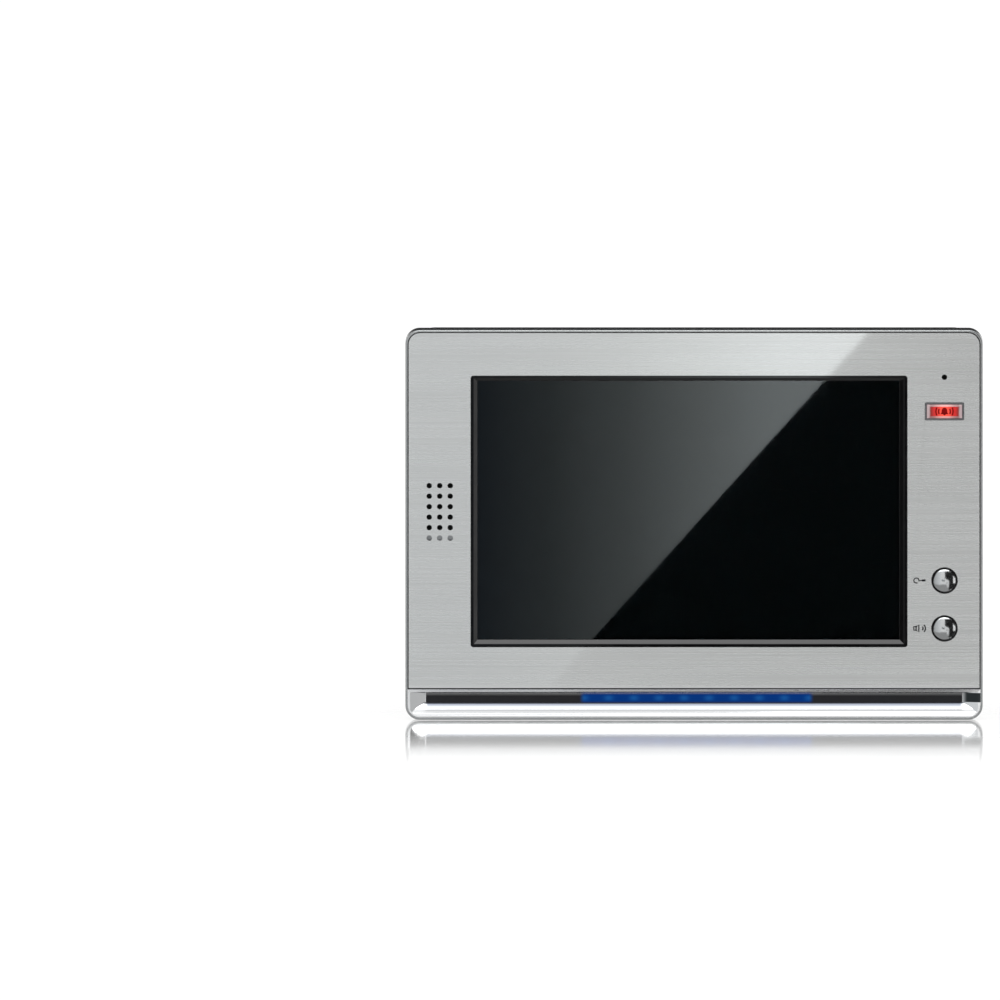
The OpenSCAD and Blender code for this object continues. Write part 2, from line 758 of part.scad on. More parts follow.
module strip_lead() color("firebrick") xex(40, 45)
    polygon([for (p = lead_path(led_board_z0 + 3, led_board_z1 - 1, y_led_board + led_board_t,
        board_z0 + 1, board_z0 + 7, y_board - 1, 1)) [p[1], p[0]]]);

// ---- speaker and microphone ----------------------------------------------------------------

// The speaker's outline drawn in by dx at its sides and dz at its ends
module speaker_outline(dx, dz, r) round_rect(speaker_x - speaker_w / 2 + dx, speaker_x + speaker_w / 2 - dx,
    speaker_z - speaker_h / 2 + dz, speaker_z + speaker_h / 2 - dz, r);

module speaker_frame() color("lightgray") difference() {
    yex(y_speaker, y_speaker_back) speaker_outline(0, 0, speaker_r);
    yex(y_speaker - over, y_speaker + speaker_wall) speaker_outline(frame_w, frame_end, speaker_r + 1);
    yex(y_cone, y_speaker_back - speaker_wall) speaker_outline(speaker_wall, speaker_wall, speaker_in_r);
}

module speaker_cone() color("black") difference() {
    yex(y_cone, y_cone + cone_t) speaker_outline(speaker_wall + fit, speaker_wall + fit, speaker_in_r);
    yex(y_cone - over, y_cone + cone_step) speaker_outline(cone_rim, cone_end, speaker_r);
    translate([speaker_x, y_cone + cone_bowl, speaker_z]) rotate([90, 0, 0])
        cylinder(h = cone_bowl + over, r1 = cone_r, r2 = cone_r * 1.6);
}

module speaker_magnet() color("dimgray") {
    rod(speaker_x, speaker_z, y_speaker_back, y_strap - 1, magnet_r);
    rod(speaker_x, speaker_z, y_strap - 1, y_strap, magnet_r - 1);
}

module speaker_gasket() color("black") yex(y_wall, y_speaker) difference() {
    speaker_outline(0, 0, speaker_r);
    speaker_outline(gasket_w, gasket_w, speaker_in_r);
}

module speaker_clamp() color("silver") difference() {
    block(speaker_x - strap_w / 2, speaker_x + strap_w / 2, y_strap, y_strap + strap_t,
        speaker_z - strap_reach - 4, speaker_z + strap_reach + 4);
    for (s = [-1, 1]) rod(speaker_x, speaker_z + s * strap_reach, y_strap - over, y_strap + 2 * over, 1.2);
}

module speaker_screws() color("silver") for (s = [-1, 1])
    screw(speaker_x, speaker_z + s * strap_reach, y_strap + strap_t, 7, small_screw, 1);

module speaker_lead() color("firebrick") zex(speaker_z + 13, speaker_z + 15.4)
    polygon(lead_path(speaker_x + 6, speaker_x + 9.6, y_speaker_back, board_x0 - 0.5, board_x0 + 7,
        y_board - 0.8, 0.8));

module microphone() color("silver") difference() {
    rod(key_x, mic_z, y_mic, y_mic_back, mic_r);
    rod(key_x, mic_z, y_mic - over, y_mic + 0.3, 1);
}

module microphone_boot() color("black") difference() {
    rod(key_x, mic_z, y_wall, y_mic_back, boot_r);
    rod(key_x, mic_z, y_mic, y_mic_back + over, mic_r + 0.02);
    rod(key_x, mic_z, y_wall - over, y_mic + over, 1);
}

module microphone_leads() color("firebrick") for (s = [-1, 1])
    rod(key_x, mic_z + s * 1.2, y_mic_back, y_keys, 0.4);

// ---- keys ----------------------------------------------------------------------------------

module round_cap(z) color("gainsboro") {
    intersection() {
        rod(key_x, z, y_front - cap_proud - over, y_cap_flange + over / 2, cap_r);
        translate([key_x, y_front - cap_proud + dome_r, z]) sphere(dome_r, $fn = 96);
    }
    rod(key_x, z, y_cap_flange, y_cap_back, cap_r + flange_w);
    rod(key_x, z, y_cap_back - over / 2, y_plunger, stem_r);
}

module collar(z) color("black") difference() {
    union() {
        rod(key_x, z, y_front - collar_proud, y_wall + over / 2, collar_r);
        rod(key_x, z, y_wall, y_collar_back, collar_r + flange_w);
    }
    rod(key_x, z, y_front - 2 * over, y_collar_back + over, cap_r + cap_gap);
}

module plunger(z) color("black") rod(key_x, z, y_plunger, y_plunger + plunger_len, plunger_r);

module unlock_button() round_cap(unlock_z);
module talk_button() round_cap(talk_z);
module unlock_ring() collar(unlock_z);
module talk_ring() collar(talk_z);
module unlock_plunger() plunger(unlock_z);
module talk_plunger() plunger(talk_z);
module alarm_plunger() plunger(sos_z);

module alarm_button() color("red") {
    yex(y_sos - 0.3, y_cap_flange + over / 2) alarm_outline(sos_rim + cap_gap);
    yex(y_cap_flange, y_cap_back) alarm_outline(-0.25);
    rod(key_x, sos_z, y_cap_back - over / 2, y_plunger, sos_stem_r);
}

module alarm_frame() color("gray") difference() {
    union() {
        yex(y_sos, y_wall + over / 2) alarm_outline(0);
        yex(y_wall, y_collar_back) alarm_outline(-flange_w);
    }
    yex(y_sos - over, y_collar_back + over) alarm_outline(sos_rim);
}

module alarm_lamps() color("mistyrose") for (s = [-1, 1])
    block(key_x + s * 6 - 1.75, key_x + s * 6 + 1.75, y_keys - 1.9, y_keys, sos_z - 1.4, sos_z + 1.4);

module key_board() color("darkgreen") difference() {
    block(key_x - key_board_w / 2, key_x + key_board_w / 2, y_keys, y_keys_back, key_board_z0, key_board_z1);
    for (z = key_bosses) rod(key_x, z, y_keys - over, y_keys_back + over, small_screw[0] + 0.2);
}

module key_board_screws() color("silver") for (z = key_bosses)
    screw(key_x, z, y_keys_back, 7, small_screw, 1);

module key_switches() color("gray") for (z = key_zs) difference() {
    block(key_x - switch_w / 2, key_x + switch_w / 2, y_switch, y_keys, z - switch_w / 2, z + switch_w / 2);
    rod(key_x, z, y_switch - over, y_switch + switch_bore_d - plunger_out + 0.4, plunger_r + 0.1);
}

module key_lead() color("firebrick") zex(8, 15)
    polygon(lead_path(board_x1 - 8, board_x1 - 0.5, y_board - 0.9,
        key_x - key_board_w / 2 + 2, key_x - key_board_w / 2 + 9, y_keys_back, 0.9));

// ---- main board ----------------------------------------------------------------------------

module main_board() color("darkgreen") difference() {
    block(board_x0, board_x1, y_board, y_board_back, board_z0, board_z1);
    for (p = posts) rod(p[0], p[1], y_board - over, y_board_back + over, small_screw[0] + 0.2);
}

module main_board_screws() color("silver") {
    for (p = posts) screw(p[0], p[1], y_board, 7, small_screw, -1);
    for (p = side_posts) screw(p[0], p[1], y_side, 6, small_screw, -1);
}

// A chip on the front of the main board: middle, width, height, thickness
module chip(x, z, w, h, t) block(x - w / 2, x + w / 2, y_board - t, y_board, z - h / 2, z + h / 2);

module board_chips() color("black") for (c = chips) chip(c[0], c[1], c[2], c[3], c[4]);

module capacitors() color("steelblue") for (p = cap_spots)
    rod(p[0], p[1], y_board - cap_h, y_board, cap_body_r);

module coils() color("gray") for (p = coil_spots) {
    chip(p[0], p[1], coil_base, coil_base, coil_base_t);
    rod(p[0], p[1], y_board - coil_h, y_board - coil_base_t, coil_r);
}

module shield_can() color("lightgray") difference() {
    chip(can[0], can[1], can[2], can[3], can_h);
    block(can[0] - can[2] / 2 + can_wall, can[0] + can[2] / 2 - can_wall, y_board - can_h + can_wall,
        y_board + over, can[1] - can[3] / 2 + can_wall, can[1] + can[3] / 2 - can_wall);
}

// Plug sockets on the back of the board, open towards the wall
module wiring_sockets() color("ivory") for (i = [-1.5 : 1.5]) {
    x = i * socket_pitch;
    y_mouth = y_board_back + socket_d;
    half_w = socket_w / 2;
    half_h = socket_h / 2;
    difference() {
        block(x - half_w, x + half_w, y_board_back, y_mouth, -half_h, half_h);
        block(x - half_w + socket_wall, x + half_w - socket_wall, y_board_back + socket_floor, y_mouth + over,
            -half_h + socket_wall, half_h - socket_wall);
    }
    for (j = [-1, 0, 1])
        block(x + j * pin_pitch - pin_w / 2, x + j * pin_pitch + pin_w / 2, y_board_back + socket_floor / 2,
            y_mouth - 1, -pin_w / 2, pin_w / 2);
}

// ---- side controls -------------------------------------------------------------------------

module side_control_board() color("darkgreen") difference() {
    block(side_x0, side_x1, y_side, y_side_back, side_z0, side_z1);
    for (p = side_posts) rod(p[0], p[1], y_side - over, y_side_back + over, small_screw[0] + 0.2);
}

module wheel_spindles() color("lightgray") for (z = wheel_zs) {
    rod(wheel_x, z, y_side_back, y_wheel - 0.3, spindle_base_r);
    rod(wheel_x, z, y_wheel - over, y_wheel_back + over, spindle_r);
    rod(wheel_x, z, y_wheel_back + 0.3, y_wheel_back + 1.1, spindle_head_r);
}

module wheel(z) color("black") difference() {
    rod(wheel_x, z, y_wheel, y_wheel_back, wheel_d / 2);
    rod(wheel_x, z, y_wheel - over, y_wheel_back + over, spindle_r + spindle_fit);
    for (a = [0 : notch_step : 360 - notch_step])
        rod(wheel_x + (wheel_d / 2 + notch_out) * cos(a), z + (wheel_d / 2 + notch_out) * sin(a),
            y_wheel - over, y_wheel_back + over, notch_r);
}

module brightness_wheel() wheel(wheel_zs[0]);
module colour_wheel() wheel(wheel_zs[1]);
module volume_wheel() wheel(wheel_zs[2]);

module side_lead() color("firebrick") zex(-10, -3)
    polygon(lead_path(board_x1 - 8, board_x1 + 0.5, y_board_back, side_x0 - 0.5, side_x0 + 7,
        y_side - 0.7, 0.7));

// ---- fasteners, bracket and label ----------------------------------------------------------

module case_screws_set() color("silver") for (p = case_screws)
    screw(p[0], p[1], y_flange + well_floor, 7.5, case_screw, 1);

module wall_bracket() color("lightsteelblue") {
    difference() {
        yex(-bracket_t, 0)
            round_rect(-bracket_w / 2, bracket_w / 2, -bracket_h / 2, bracket_h / 2, 4);
        for (x = [-1, 1], z = [-1, 1])
            rod(x * screw_dx / 2, z * screw_dz / 2, -bracket_t - over, over, screw_d / 2);
        yex(-bracket_t - over, over) for (s = [-1, 1]) slot(s * box_dx / 2, 0, box_slot, box_slot_r);
        yex(-bracket_t - over, over)
            round_rect(-cable_w / 2, cable_w / 2, -cable_h / 2, cable_h / 2, 3);
        for (s = [-1, 1], z = hook_zs)
            block(s * hook_x - hook_w / 2 - hook_hole, s * hook_x + hook_w / 2 + hook_hole,
                -bracket_t - over, over, z, z + window_h);
    }
    for (s = [-1, 1], z = hook_zs) {
        block(s * hook_x - hook_w / 2, s * hook_x + hook_w / 2, y_hook, -bracket_t / 2, z - bracket_t, z);
        block(s * hook_x - hook_w / 2, s * hook_x + hook_w / 2, y_hook, y_hook + bracket_t,
            z - bracket_t, z + hook_up);
    }
}

module rating_label() color("whitesmoke")
    block(-label_w / 2 + slip, label_w / 2 - slip, -label_recess, -label_recess + label_t,
        label_z - label_h / 2 + slip, label_z + label_h / 2 - slip);

front_housing();
face_plate();
screen_surround();
screen_lens();
window_gasket();
lcd_frame();
lcd_panel();
lcd_backlight();
lcd_driver_board();
lcd_flat_lead();
lcd_clamps();
lcd_clamp_screws();
chin_trim();
light_bar();
light_guide();
strip_led_board();
strip_leds();
strip_board_screws();
strip_lead();
speaker_frame();
speaker_cone();
speaker_magnet();
speaker_gasket();
speaker_clamp();
speaker_screws();
speaker_lead();
microphone();
microphone_boot();
microphone_leads();
unlock_button();
talk_button();
unlock_ring();
talk_ring();
alarm_button();
alarm_frame();
alarm_lamps();
key_board();
key_board_screws();
key_switches();
unlock_plunger();
talk_plunger();
alarm_plunger();
key_lead();
main_board();
board_chips();
capacitors();
shield_can();
coils();
wiring_sockets();
main_board_screws();
side_control_board();
wheel_spindles();
brightness_wheel();
colour_wheel();
volume_wheel();
side_lead();
rear_housing();
case_screws_set();
wall_bracket();
rating_label();
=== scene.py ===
"""The looks of an indoor video intercom monitor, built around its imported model.

Lengths are in metres. X runs to the right, Y into the wall and Z up. The origin
is the middle of the bracket's wall screws, on the wall.
"""

import logging
from collections.abc import Sequence
from dataclasses import dataclass, replace
from enum import Enum
from math import cos, pi, radians, sin, tan, tau

import bmesh
import bpy
from bpy.types import Material, NodeSocket, Object
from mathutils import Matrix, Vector


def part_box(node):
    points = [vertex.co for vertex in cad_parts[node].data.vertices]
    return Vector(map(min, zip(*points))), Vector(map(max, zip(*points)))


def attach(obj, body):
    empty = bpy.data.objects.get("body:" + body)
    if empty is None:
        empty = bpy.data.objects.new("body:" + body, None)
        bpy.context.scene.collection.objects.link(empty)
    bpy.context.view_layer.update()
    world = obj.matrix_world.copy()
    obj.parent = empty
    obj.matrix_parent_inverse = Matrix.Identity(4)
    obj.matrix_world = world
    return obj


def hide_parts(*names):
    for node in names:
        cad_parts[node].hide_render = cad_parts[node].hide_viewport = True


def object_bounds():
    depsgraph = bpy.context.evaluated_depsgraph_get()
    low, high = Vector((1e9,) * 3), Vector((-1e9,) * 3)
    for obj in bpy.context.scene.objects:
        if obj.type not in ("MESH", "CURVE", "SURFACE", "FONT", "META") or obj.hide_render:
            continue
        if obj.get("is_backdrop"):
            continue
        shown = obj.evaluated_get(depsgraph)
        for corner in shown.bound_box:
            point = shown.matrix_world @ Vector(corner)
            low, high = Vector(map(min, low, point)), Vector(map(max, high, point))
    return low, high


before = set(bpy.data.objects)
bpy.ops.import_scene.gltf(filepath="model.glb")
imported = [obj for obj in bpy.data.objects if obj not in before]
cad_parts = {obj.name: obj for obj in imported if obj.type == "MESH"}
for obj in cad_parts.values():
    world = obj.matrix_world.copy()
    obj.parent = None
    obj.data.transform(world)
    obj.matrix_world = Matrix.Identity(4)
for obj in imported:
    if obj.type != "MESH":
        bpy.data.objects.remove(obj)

log = logging.getLogger("monitor")

Colour = tuple[float, float, float]
Point = tuple[float, float, float]
Spot = tuple[float, float]
MM = 0.001
HOUSING = "housing"
NOISE_SPAN = (0.3, 0.7)
MOTTLE = (0.35, 0.65)
WIDER = 12


# ---- node materials ------------------------------------------------------------------


class NodeSheet:
    """A node material while it is drawn up.

    Args:
        name: The material's name.
    """

    def __init__(self, name: str) -> None:
        self.material = bpy.data.materials.new(name)
        self.material.use_nodes = True
        self.nodes = self.material.node_tree.nodes
        self.links = self.material.node_tree.links
        self.shader = self.nodes["Principled BSDF"]

    def fix(self, **values: float | Colour) -> None:
        """Sets sockets of the shader to plain values.

        Args:
            values: The sockets' names with underscores, and their values.
        """
        for name, value in values.items():
            socket = self.shader.inputs[name.replace("_", " ").replace("Ior", "IOR")]
            socket.default_value = (*value, 1.0) if isinstance(value, tuple) else value

    def plug(self, name: str, source: NodeSocket) -> None:
        """Links a pattern to one of the shader's sockets."""
        self.links.new(source, self.shader.inputs[name])

    def place(self) -> NodeSocket:
        """The piece's own coordinates, in metres."""
        return self.nodes.new("ShaderNodeTexCoord").outputs["Object"]

    def axes(self) -> dict[str, NodeSocket]:
        """The piece's own coordinates, one socket for each of X, Y and Z."""
        split = self.nodes.new("ShaderNodeSeparateXYZ")
        self.links.new(self.place(), split.inputs[0])
        return {name: split.outputs[name] for name in "XYZ"}

    def scaled(self, per_metre: Point, start: Point = (0.0, 0.0, 0.0)) -> NodeSocket:
        """The piece's own coordinates, scaled and moved for a pattern."""
        mapping = self.nodes.new("ShaderNodeMapping")
        mapping.inputs["Scale"].default_value = per_metre
        mapping.inputs["Location"].default_value = start
        self.links.new(self.place(), mapping.inputs["Vector"])
        return mapping.outputs[0]

    def noise(self, per_metre: Point, detail: float = 2.0, seed: float = 0.0) -> NodeSocket:
        """A noise pattern.

        Args:
            per_metre: How many features it has to the metre along X, Y and Z.
            detail: How much finer noise is laid over it.
            seed: Where in the noise it starts.

        Returns:
            Its value, round 0.5.
        """
        noise = self.nodes.new("ShaderNodeTexNoise")
        noise.inputs["Scale"].default_value = 1.0
        noise.inputs["Detail"].default_value = detail
        place = self.scaled(per_metre, (seed, seed * 0.7, seed * 1.3))
        self.links.new(place, noise.inputs["Vector"])
        return noise.outputs[0]

    def sums(self, operation: str, *terms: NodeSocket | float) -> NodeSocket:
        """One step of arithmetic.

        Args:
            operation: The name of the step, such as MULTIPLY.
            terms: What it works on, patterns or numbers.

        Returns:
            The result.
        """
        node = self.nodes.new("ShaderNodeMath")
        node.operation = operation
        for socket, term in zip(node.inputs, terms):
            if isinstance(term, NodeSocket):
                self.links.new(term, socket)
            else:
                socket.default_value = term
        return node.outputs[0]

    def spread(self, source: NodeSocket, old: Spot, new: Spot, smooth: bool = False) -> NodeSocket:
        """Maps a pattern's range to another.

        Args:
            source: The pattern.
            old: The range that counts, beyond which it is held.
            new: What that range becomes.
            smooth: Whether it eases in and out.

        Returns:
            The mapped pattern.
        """
        node = self.nodes.new("ShaderNodeMapRange")
        node.interpolation_type = "SMOOTHSTEP" if smooth else "LINEAR"
        for name, value in zip(("From Min", "From Max", "To Min", "To Max"), (*old, *new)):
            node.inputs[name].default_value = value
        self.links.new(source, node.inputs["Value"])
        return node.outputs[0]

    def blend(
        self, amount: NodeSocket, low: Colour | NodeSocket, high: Colour | NodeSocket
    ) -> NodeSocket:
        """Two colours mixed by a pattern.

        Args:
            amount: The pattern, 0 for the first colour and 1 for the second.
            low: The first colour.
            high: The second colour.

        Returns:
            The mixed colour.
        """
        node = self.nodes.new("ShaderNodeMix")
        node.data_type = "RGBA"
        self.links.new(amount, node.inputs[0])
        for socket, colour in ((node.inputs[6], low), (node.inputs[7], high)):
            if isinstance(colour, NodeSocket):
                self.links.new(colour, socket)
            else:
                socket.default_value = (*colour, 1.0)
        return node.outputs[2]

    def tint(self, tone: NodeSocket, span: Spot, low: Colour, high: Colour) -> None:
        """Colours the surface from one tone to another over a span of a pattern."""
        self.plug("Base Color", self.blend(self.spread(tone, span, (0, 1)), low, high))

    def relief(self, height: NodeSocket, depth: float) -> None:
        """Gives the surface a fine relief of that depth."""
        bump = self.nodes.new("ShaderNodeBump")
        bump.inputs["Strength"].default_value = 1.0
        bump.inputs["Distance"].default_value = depth
        self.links.new(height, bump.inputs["Height"])
        self.plug("Normal", bump.outputs[0])


@dataclass(frozen=True)
class Finish:
    """A mottled, slightly uneven surface, which the other finishes start from.

    Args:
        shade: The tone that its colour is mottled with.
        roughness: Its lowest and highest roughness.
        grain: How many specks it has to the metre along X, Y and Z.
        depth: How deep its relief is.
    """

    name: str
    colour: Colour
    shade: Colour
    roughness: Spot = (0.4, 0.5)
    grain: Point = (900.0, 900.0, 900.0)
    metallic: float = 0.0
    depth: float = 0.0
    ior: float = 1.5
    coat: float = 0.0
    coat_roughness: float = 0.03
    transmission: float = 0.0

    def make(self) -> Material:
        """Draws the finish up.

        Returns:
            A new node material.
        """
        sheet = NodeSheet(self.name)
        sheet.fix(Metallic=self.metallic, Ior=self.ior, Transmission_Weight=self.transmission)
        sheet.fix(Coat_Weight=self.coat, Coat_Roughness=self.coat_roughness)
        self.draw(sheet)
        return sheet.material

    def draw(self, sheet: NodeSheet) -> None:
        """Adds the patterns: two tones, an uneven gloss and a fine relief."""
        fine = sheet.noise(self.grain)
        wide = sheet.noise(tuple(n / WIDER for n in self.grain), seed=3.0)
        tone = sheet.sums("MULTIPLY_ADD", fine, 0.5, sheet.sums("MULTIPLY", wide, 0.5))
        sheet.tint(tone, MOTTLE, self.colour, self.shade)
        sheet.plug("Roughness", sheet.spread(wide, NOISE_SPAN, self.roughness))
        if self.depth:
            sheet.relief(fine, self.depth)


@dataclass(frozen=True)
class BrushedMetal(Finish):
    """Sheet metal brushed along X under a clear gloss.

    Args:
        streaks: For each kind its weight, how many to the metre, its detail and its seed.
        span: The range of the streaks that counts.
    """

    brush: float = 0.55
    coat_ior: float = 2.1
    streaks: tuple[tuple[float, Point, float, float], ...] = (
        (0.35, (6.0, 6.0, 1000.0), 2.0, 7.0),
        (0.40, (3.0, 3.0, 1500.0), 1.0, 0.0),
        (0.25, (16.0, 16.0, 2800.0), 2.0, 5.0),
    )
    span: Spot = (0.40, 0.60)

    def draw(self, sheet: NodeSheet) -> None:
        """Adds long and short streaks along X, in tone, gloss and relief."""
        sheet.fix(Anisotropic=self.brush, Anisotropic_Rotation=0.25, Coat_Ior=self.coat_ior)
        cloud = sheet.noise((7.0, 7.0, 60.0), 1.0, 9.0)
        streaks: NodeSocket | float = 0.0
        for weight, *pattern in self.streaks:
            streaks = sheet.sums("MULTIPLY_ADD", sheet.noise(*pattern), weight, streaks)
        tone = sheet.sums("MULTIPLY_ADD", streaks, 0.8, sheet.sums("MULTIPLY", cloud, 0.2))
        sheet.tint(tone, self.span, self.colour, self.shade)
        sheet.plug("Roughness", sheet.spread(streaks, self.span, self.roughness))
        sheet.relief(streaks, self.depth)


@dataclass(frozen=True)
class PaintedShadeChrome(Finish):
    """Chrome plate, with painted shade along the top of the lip and in the right end of the cove.

    Args:
        painted_shade_heights: The heights where the lip's painted shade starts and where it is
            full.
        cove: The cove's lowest and highest height.
        ends: Where its end starts, and where that is full, from the middle.
    """

    painted_shade_heights: Spot = (0.0, 0.001)
    cove: Spot = (0.002, 0.009)
    ends: Spot = (0.1365, 0.1405)
    # The colour of the painted shade on the lip's top.
    painted_lip_shade: Colour = (0.11, 0.12, 0.145)
    # The colour of the painted shade in the cove's right end.
    dark: Colour = (0.035, 0.041, 0.043)

    def draw(self, sheet: NodeSheet) -> None:
        """Paints shade into the colour: along the lip's top and in the cove's right end."""
        super().draw(sheet)
        axes = sheet.axes()
        along, height = axes["X"], axes["Z"]
        # Painted shade: the lip's top is darkened in colour, fading out downwards.
        painted_shade_rise = sheet.spread(height, self.painted_shade_heights, (0, 1), True)
        middle = sheet.spread(sheet.sums("ABSOLUTE", along), self.ends, (1, 0), True)
        below = sheet.sums("MULTIPLY", middle, sheet.sums("LESS_THAN", height, self.cove[0]))
        lip = sheet.blend(sheet.sums("MULTIPLY", painted_shade_rise, below), self.colour, self.painted_lip_shade)
        # Painted shade: the cove's right end is painted near black.
        inside = sheet.sums("LESS_THAN", height, self.cove[1])
        inside = sheet.sums("MULTIPLY", inside, sheet.sums("GREATER_THAN", height, self.cove[0]))
        corner = sheet.sums("MULTIPLY", inside, sheet.spread(along, self.ends, (0, 1), True))
        sheet.plug("Base Color", sheet.blend(corner, lip, self.dark))


@dataclass(frozen=True)
class LitBar(Finish):
    """A smoked strip with a row of lamps behind its middle.

    Args:
        centre: The middle of the lit stretch, in X and Z.
        half: Half its length, which fades over the soft ends.
        tall: Half the strip's height.
        pale: Where the pale upper edge starts, as a share of tall.
        fade: Where the light starts and stops fading, as shares of tall.
        least: How much light is left there.
    """

    centre: Spot = (0.0, 0.0)
    half: float = 0.06
    soft: float = 0.0015
    tall: float = 0.0024
    pitch: float = 0.0129
    pale: float = 0.35
    fade: Spot = (0.55, 1.1)
    least: float = 0.45
    narrow: float = 3.0
    top: Colour = (0.13, 0.13, 0.132)
    glow: Colour = (0.0, 0.032, 0.190)
    hot: Colour = (0.006, 0.080, 0.295)

    def draw(self, sheet: NodeSheet) -> None:
        """Adds the lit stretch, with soft ends and a hot spot over each lamp."""
        super().draw(sheet)
        axes = sheet.axes()
        x, z = self.centre
        top = sheet.spread(axes["Z"], (z + self.tall * self.pale, z + self.tall), (0, 1), True)
        along = sheet.sums("SUBTRACT", axes["X"], x)
        up = sheet.sums("ABSOLUTE", sheet.sums("SUBTRACT", axes["Z"], z))
        ends = (self.half - self.soft, self.half + self.soft)
        inside = sheet.spread(sheet.sums("ABSOLUTE", along), ends, (1, 0), True)
        wave = sheet.sums("COSINE", sheet.sums("MULTIPLY", along, tau / self.pitch))
        lamp = sheet.sums("POWER", sheet.spread(wave, (1, -1), (0, 1)), self.narrow)
        middle = sheet.spread(up, (0.0, self.tall), (1, 0), True)
        spots = sheet.sums("MULTIPLY", lamp, middle)
        rim = (self.tall * self.fade[0], self.tall * self.fade[1])
        edge = sheet.spread(up, rim, (1, self.least), True)
        light = sheet.blend(spots, self.glow, self.hot)
        level = sheet.sums("MULTIPLY", inside, edge)
        body = sheet.blend(top, self.colour, self.top)
        sheet.plug("Base Color", sheet.blend(level, body, (0.0, 0.0, 0.002)))
        sheet.plug("Emission Color", sheet.blend(level, (0.0, 0.0, 0.0), light))
        sheet.fix(Emission_Strength=1.0)


@dataclass(frozen=True)
class LampGlow(Finish):
    """A clear coloured cap lit from behind, brightest in the middle.

    Args:
        reach: How far out the glow starts to fade, is the rim's, and is the end's.
        wobble: How uneven those distances are.
    """

    centre: Spot = (0.0, 0.0)
    reach: tuple[float, float, float] = (0.0008, 0.0052, 0.0072)
    wobble: float = 0.0012
    glow: Colour = (0.90, 0.085, 0.050)
    rim: Colour = (0.42, 0.010, 0.010)
    end: Colour = (0.07, 0.010, 0.010)

    def draw(self, sheet: NodeSheet) -> None:
        """Adds a glow that fades towards the two ends."""
        super().draw(sheet)
        axes = sheet.axes()
        along = sheet.sums("ABSOLUTE", sheet.sums("SUBTRACT", axes["X"], self.centre[0]))
        cloud = sheet.noise((700.0, 700.0, 400.0), 1.0)
        uneven = sheet.sums("MULTIPLY_ADD", cloud, self.wobble, along)
        start, turn, end = (n + self.wobble / 2 for n in self.reach)
        near = sheet.blend(sheet.spread(uneven, (start, turn), (0, 1), True), self.glow, self.rim)
        light = sheet.blend(sheet.spread(uneven, (turn, end), (0, 1), True), near, self.end)
        sheet.plug("Emission Color", light)
        sheet.fix(Emission_Strength=1.0)


@dataclass(frozen=True)
class TracedBoard(Finish):
    """A circuit board with copper traces under its mask.

    Args:
        sizes: For each kind of trace, how many to the metre and how wide.
        stretch: How many along Z for each along X.
        apart: How far apart the traces run.
    """

    trace: Colour = (0.03, 0.16, 0.05)
    sizes: tuple[Spot, ...] = ((180.0, 0.07), (420.0, 0.1))
    stretch: float = 0.7
    apart: float = 0.16

    def draw(self, sheet: NodeSheet) -> None:
        """Adds square runs of traces of two widths."""
        cells = []
        for scale, width in self.sizes:
            voronoi = sheet.nodes.new("ShaderNodeTexVoronoi")
            voronoi.feature = "F1"
            voronoi.distance = "CHEBYCHEV"
            voronoi.inputs["Scale"].default_value = 1.0
            place = sheet.scaled((scale, 0.0, scale * self.stretch))
            sheet.links.new(place, voronoi.inputs["Vector"])
            ring = sheet.sums("PINGPONG", voronoi.outputs["Distance"], self.apart)
            cells.append(sheet.sums("LESS_THAN", ring, width * 0.5))
        lines = sheet.sums("MAXIMUM", *cells)
        cloud = sheet.noise(self.grain)
        ground = sheet.blend(sheet.spread(cloud, MOTTLE, (0, 1)), self.colour, self.shade)
        sheet.plug("Base Color", sheet.blend(lines, ground, self.trace))
        sheet.plug("Roughness", sheet.spread(cloud, NOISE_SPAN, self.roughness))
        sheet.relief(lines, self.depth)


@dataclass(frozen=True)
class RibbedLead(Finish):
    """A flat lead made of parallel sleeved wires."""

    wire: float = 0.0012
    across: str = "X"

    def draw(self, sheet: NodeSheet) -> None:
        """Adds the round backs of the wires and the dark gaps between them."""
        phase = sheet.sums("MULTIPLY", sheet.axes()[self.across], pi / self.wire)
        back = sheet.sums("ABSOLUTE", sheet.sums("SINE", phase))
        cloud = sheet.noise(self.grain)
        tone = sheet.sums("MULTIPLY", back, sheet.spread(cloud, NOISE_SPAN, (0.85, 1.0)))
        sheet.tint(tone, (0.1, 0.6), self.shade, self.colour)
        sheet.plug("Roughness", sheet.spread(cloud, NOISE_SPAN, self.roughness))
        sheet.relief(back, self.depth)


SILVER_PAINT = Finish(
    "silver_paint", (0.43, 0.44, 0.44), (0.39, 0.40, 0.405), (0.20, 0.26), (2400.0,) * 3, 0.9, 8e-7
)
BRUSHED = BrushedMetal(
    "brushed_plate", (0.735, 0.747, 0.741), (0.655, 0.665, 0.660), (0.24, 0.33), metallic=1.0,
    depth=2e-6, coat=1.0, coat_roughness=0.02,
)
POLISHED_EDGE = Finish(
    "polished_edge", (0.86, 0.87, 0.87), (0.78, 0.79, 0.80), (0.10, 0.18), metallic=1.0
)
GLOSS_BLACK = Finish("gloss_black", (0.002, 0.002, 0.0022), (0.004, 0.004, 0.0043), (0.03, 0.07))
CLEAR_WINDOW = Finish(
    "clear_window", (0.90, 0.93, 0.94), (0.88, 0.92, 0.93), (0.0, 0.02), (40.0,) * 3,
    transmission=1.0,
)
GAUZE = Finish(
    "gauze", (0.002, 0.002, 0.002), (0.005, 0.005, 0.005), (0.8, 0.95), (5200.0,) * 3, depth=1e-4,
    ior=1.1,
)
FOAM = Finish(
    "foam", (0.020, 0.020, 0.021), (0.045, 0.045, 0.047), (0.85, 0.98), (1800.0,) * 3, depth=2e-4
)
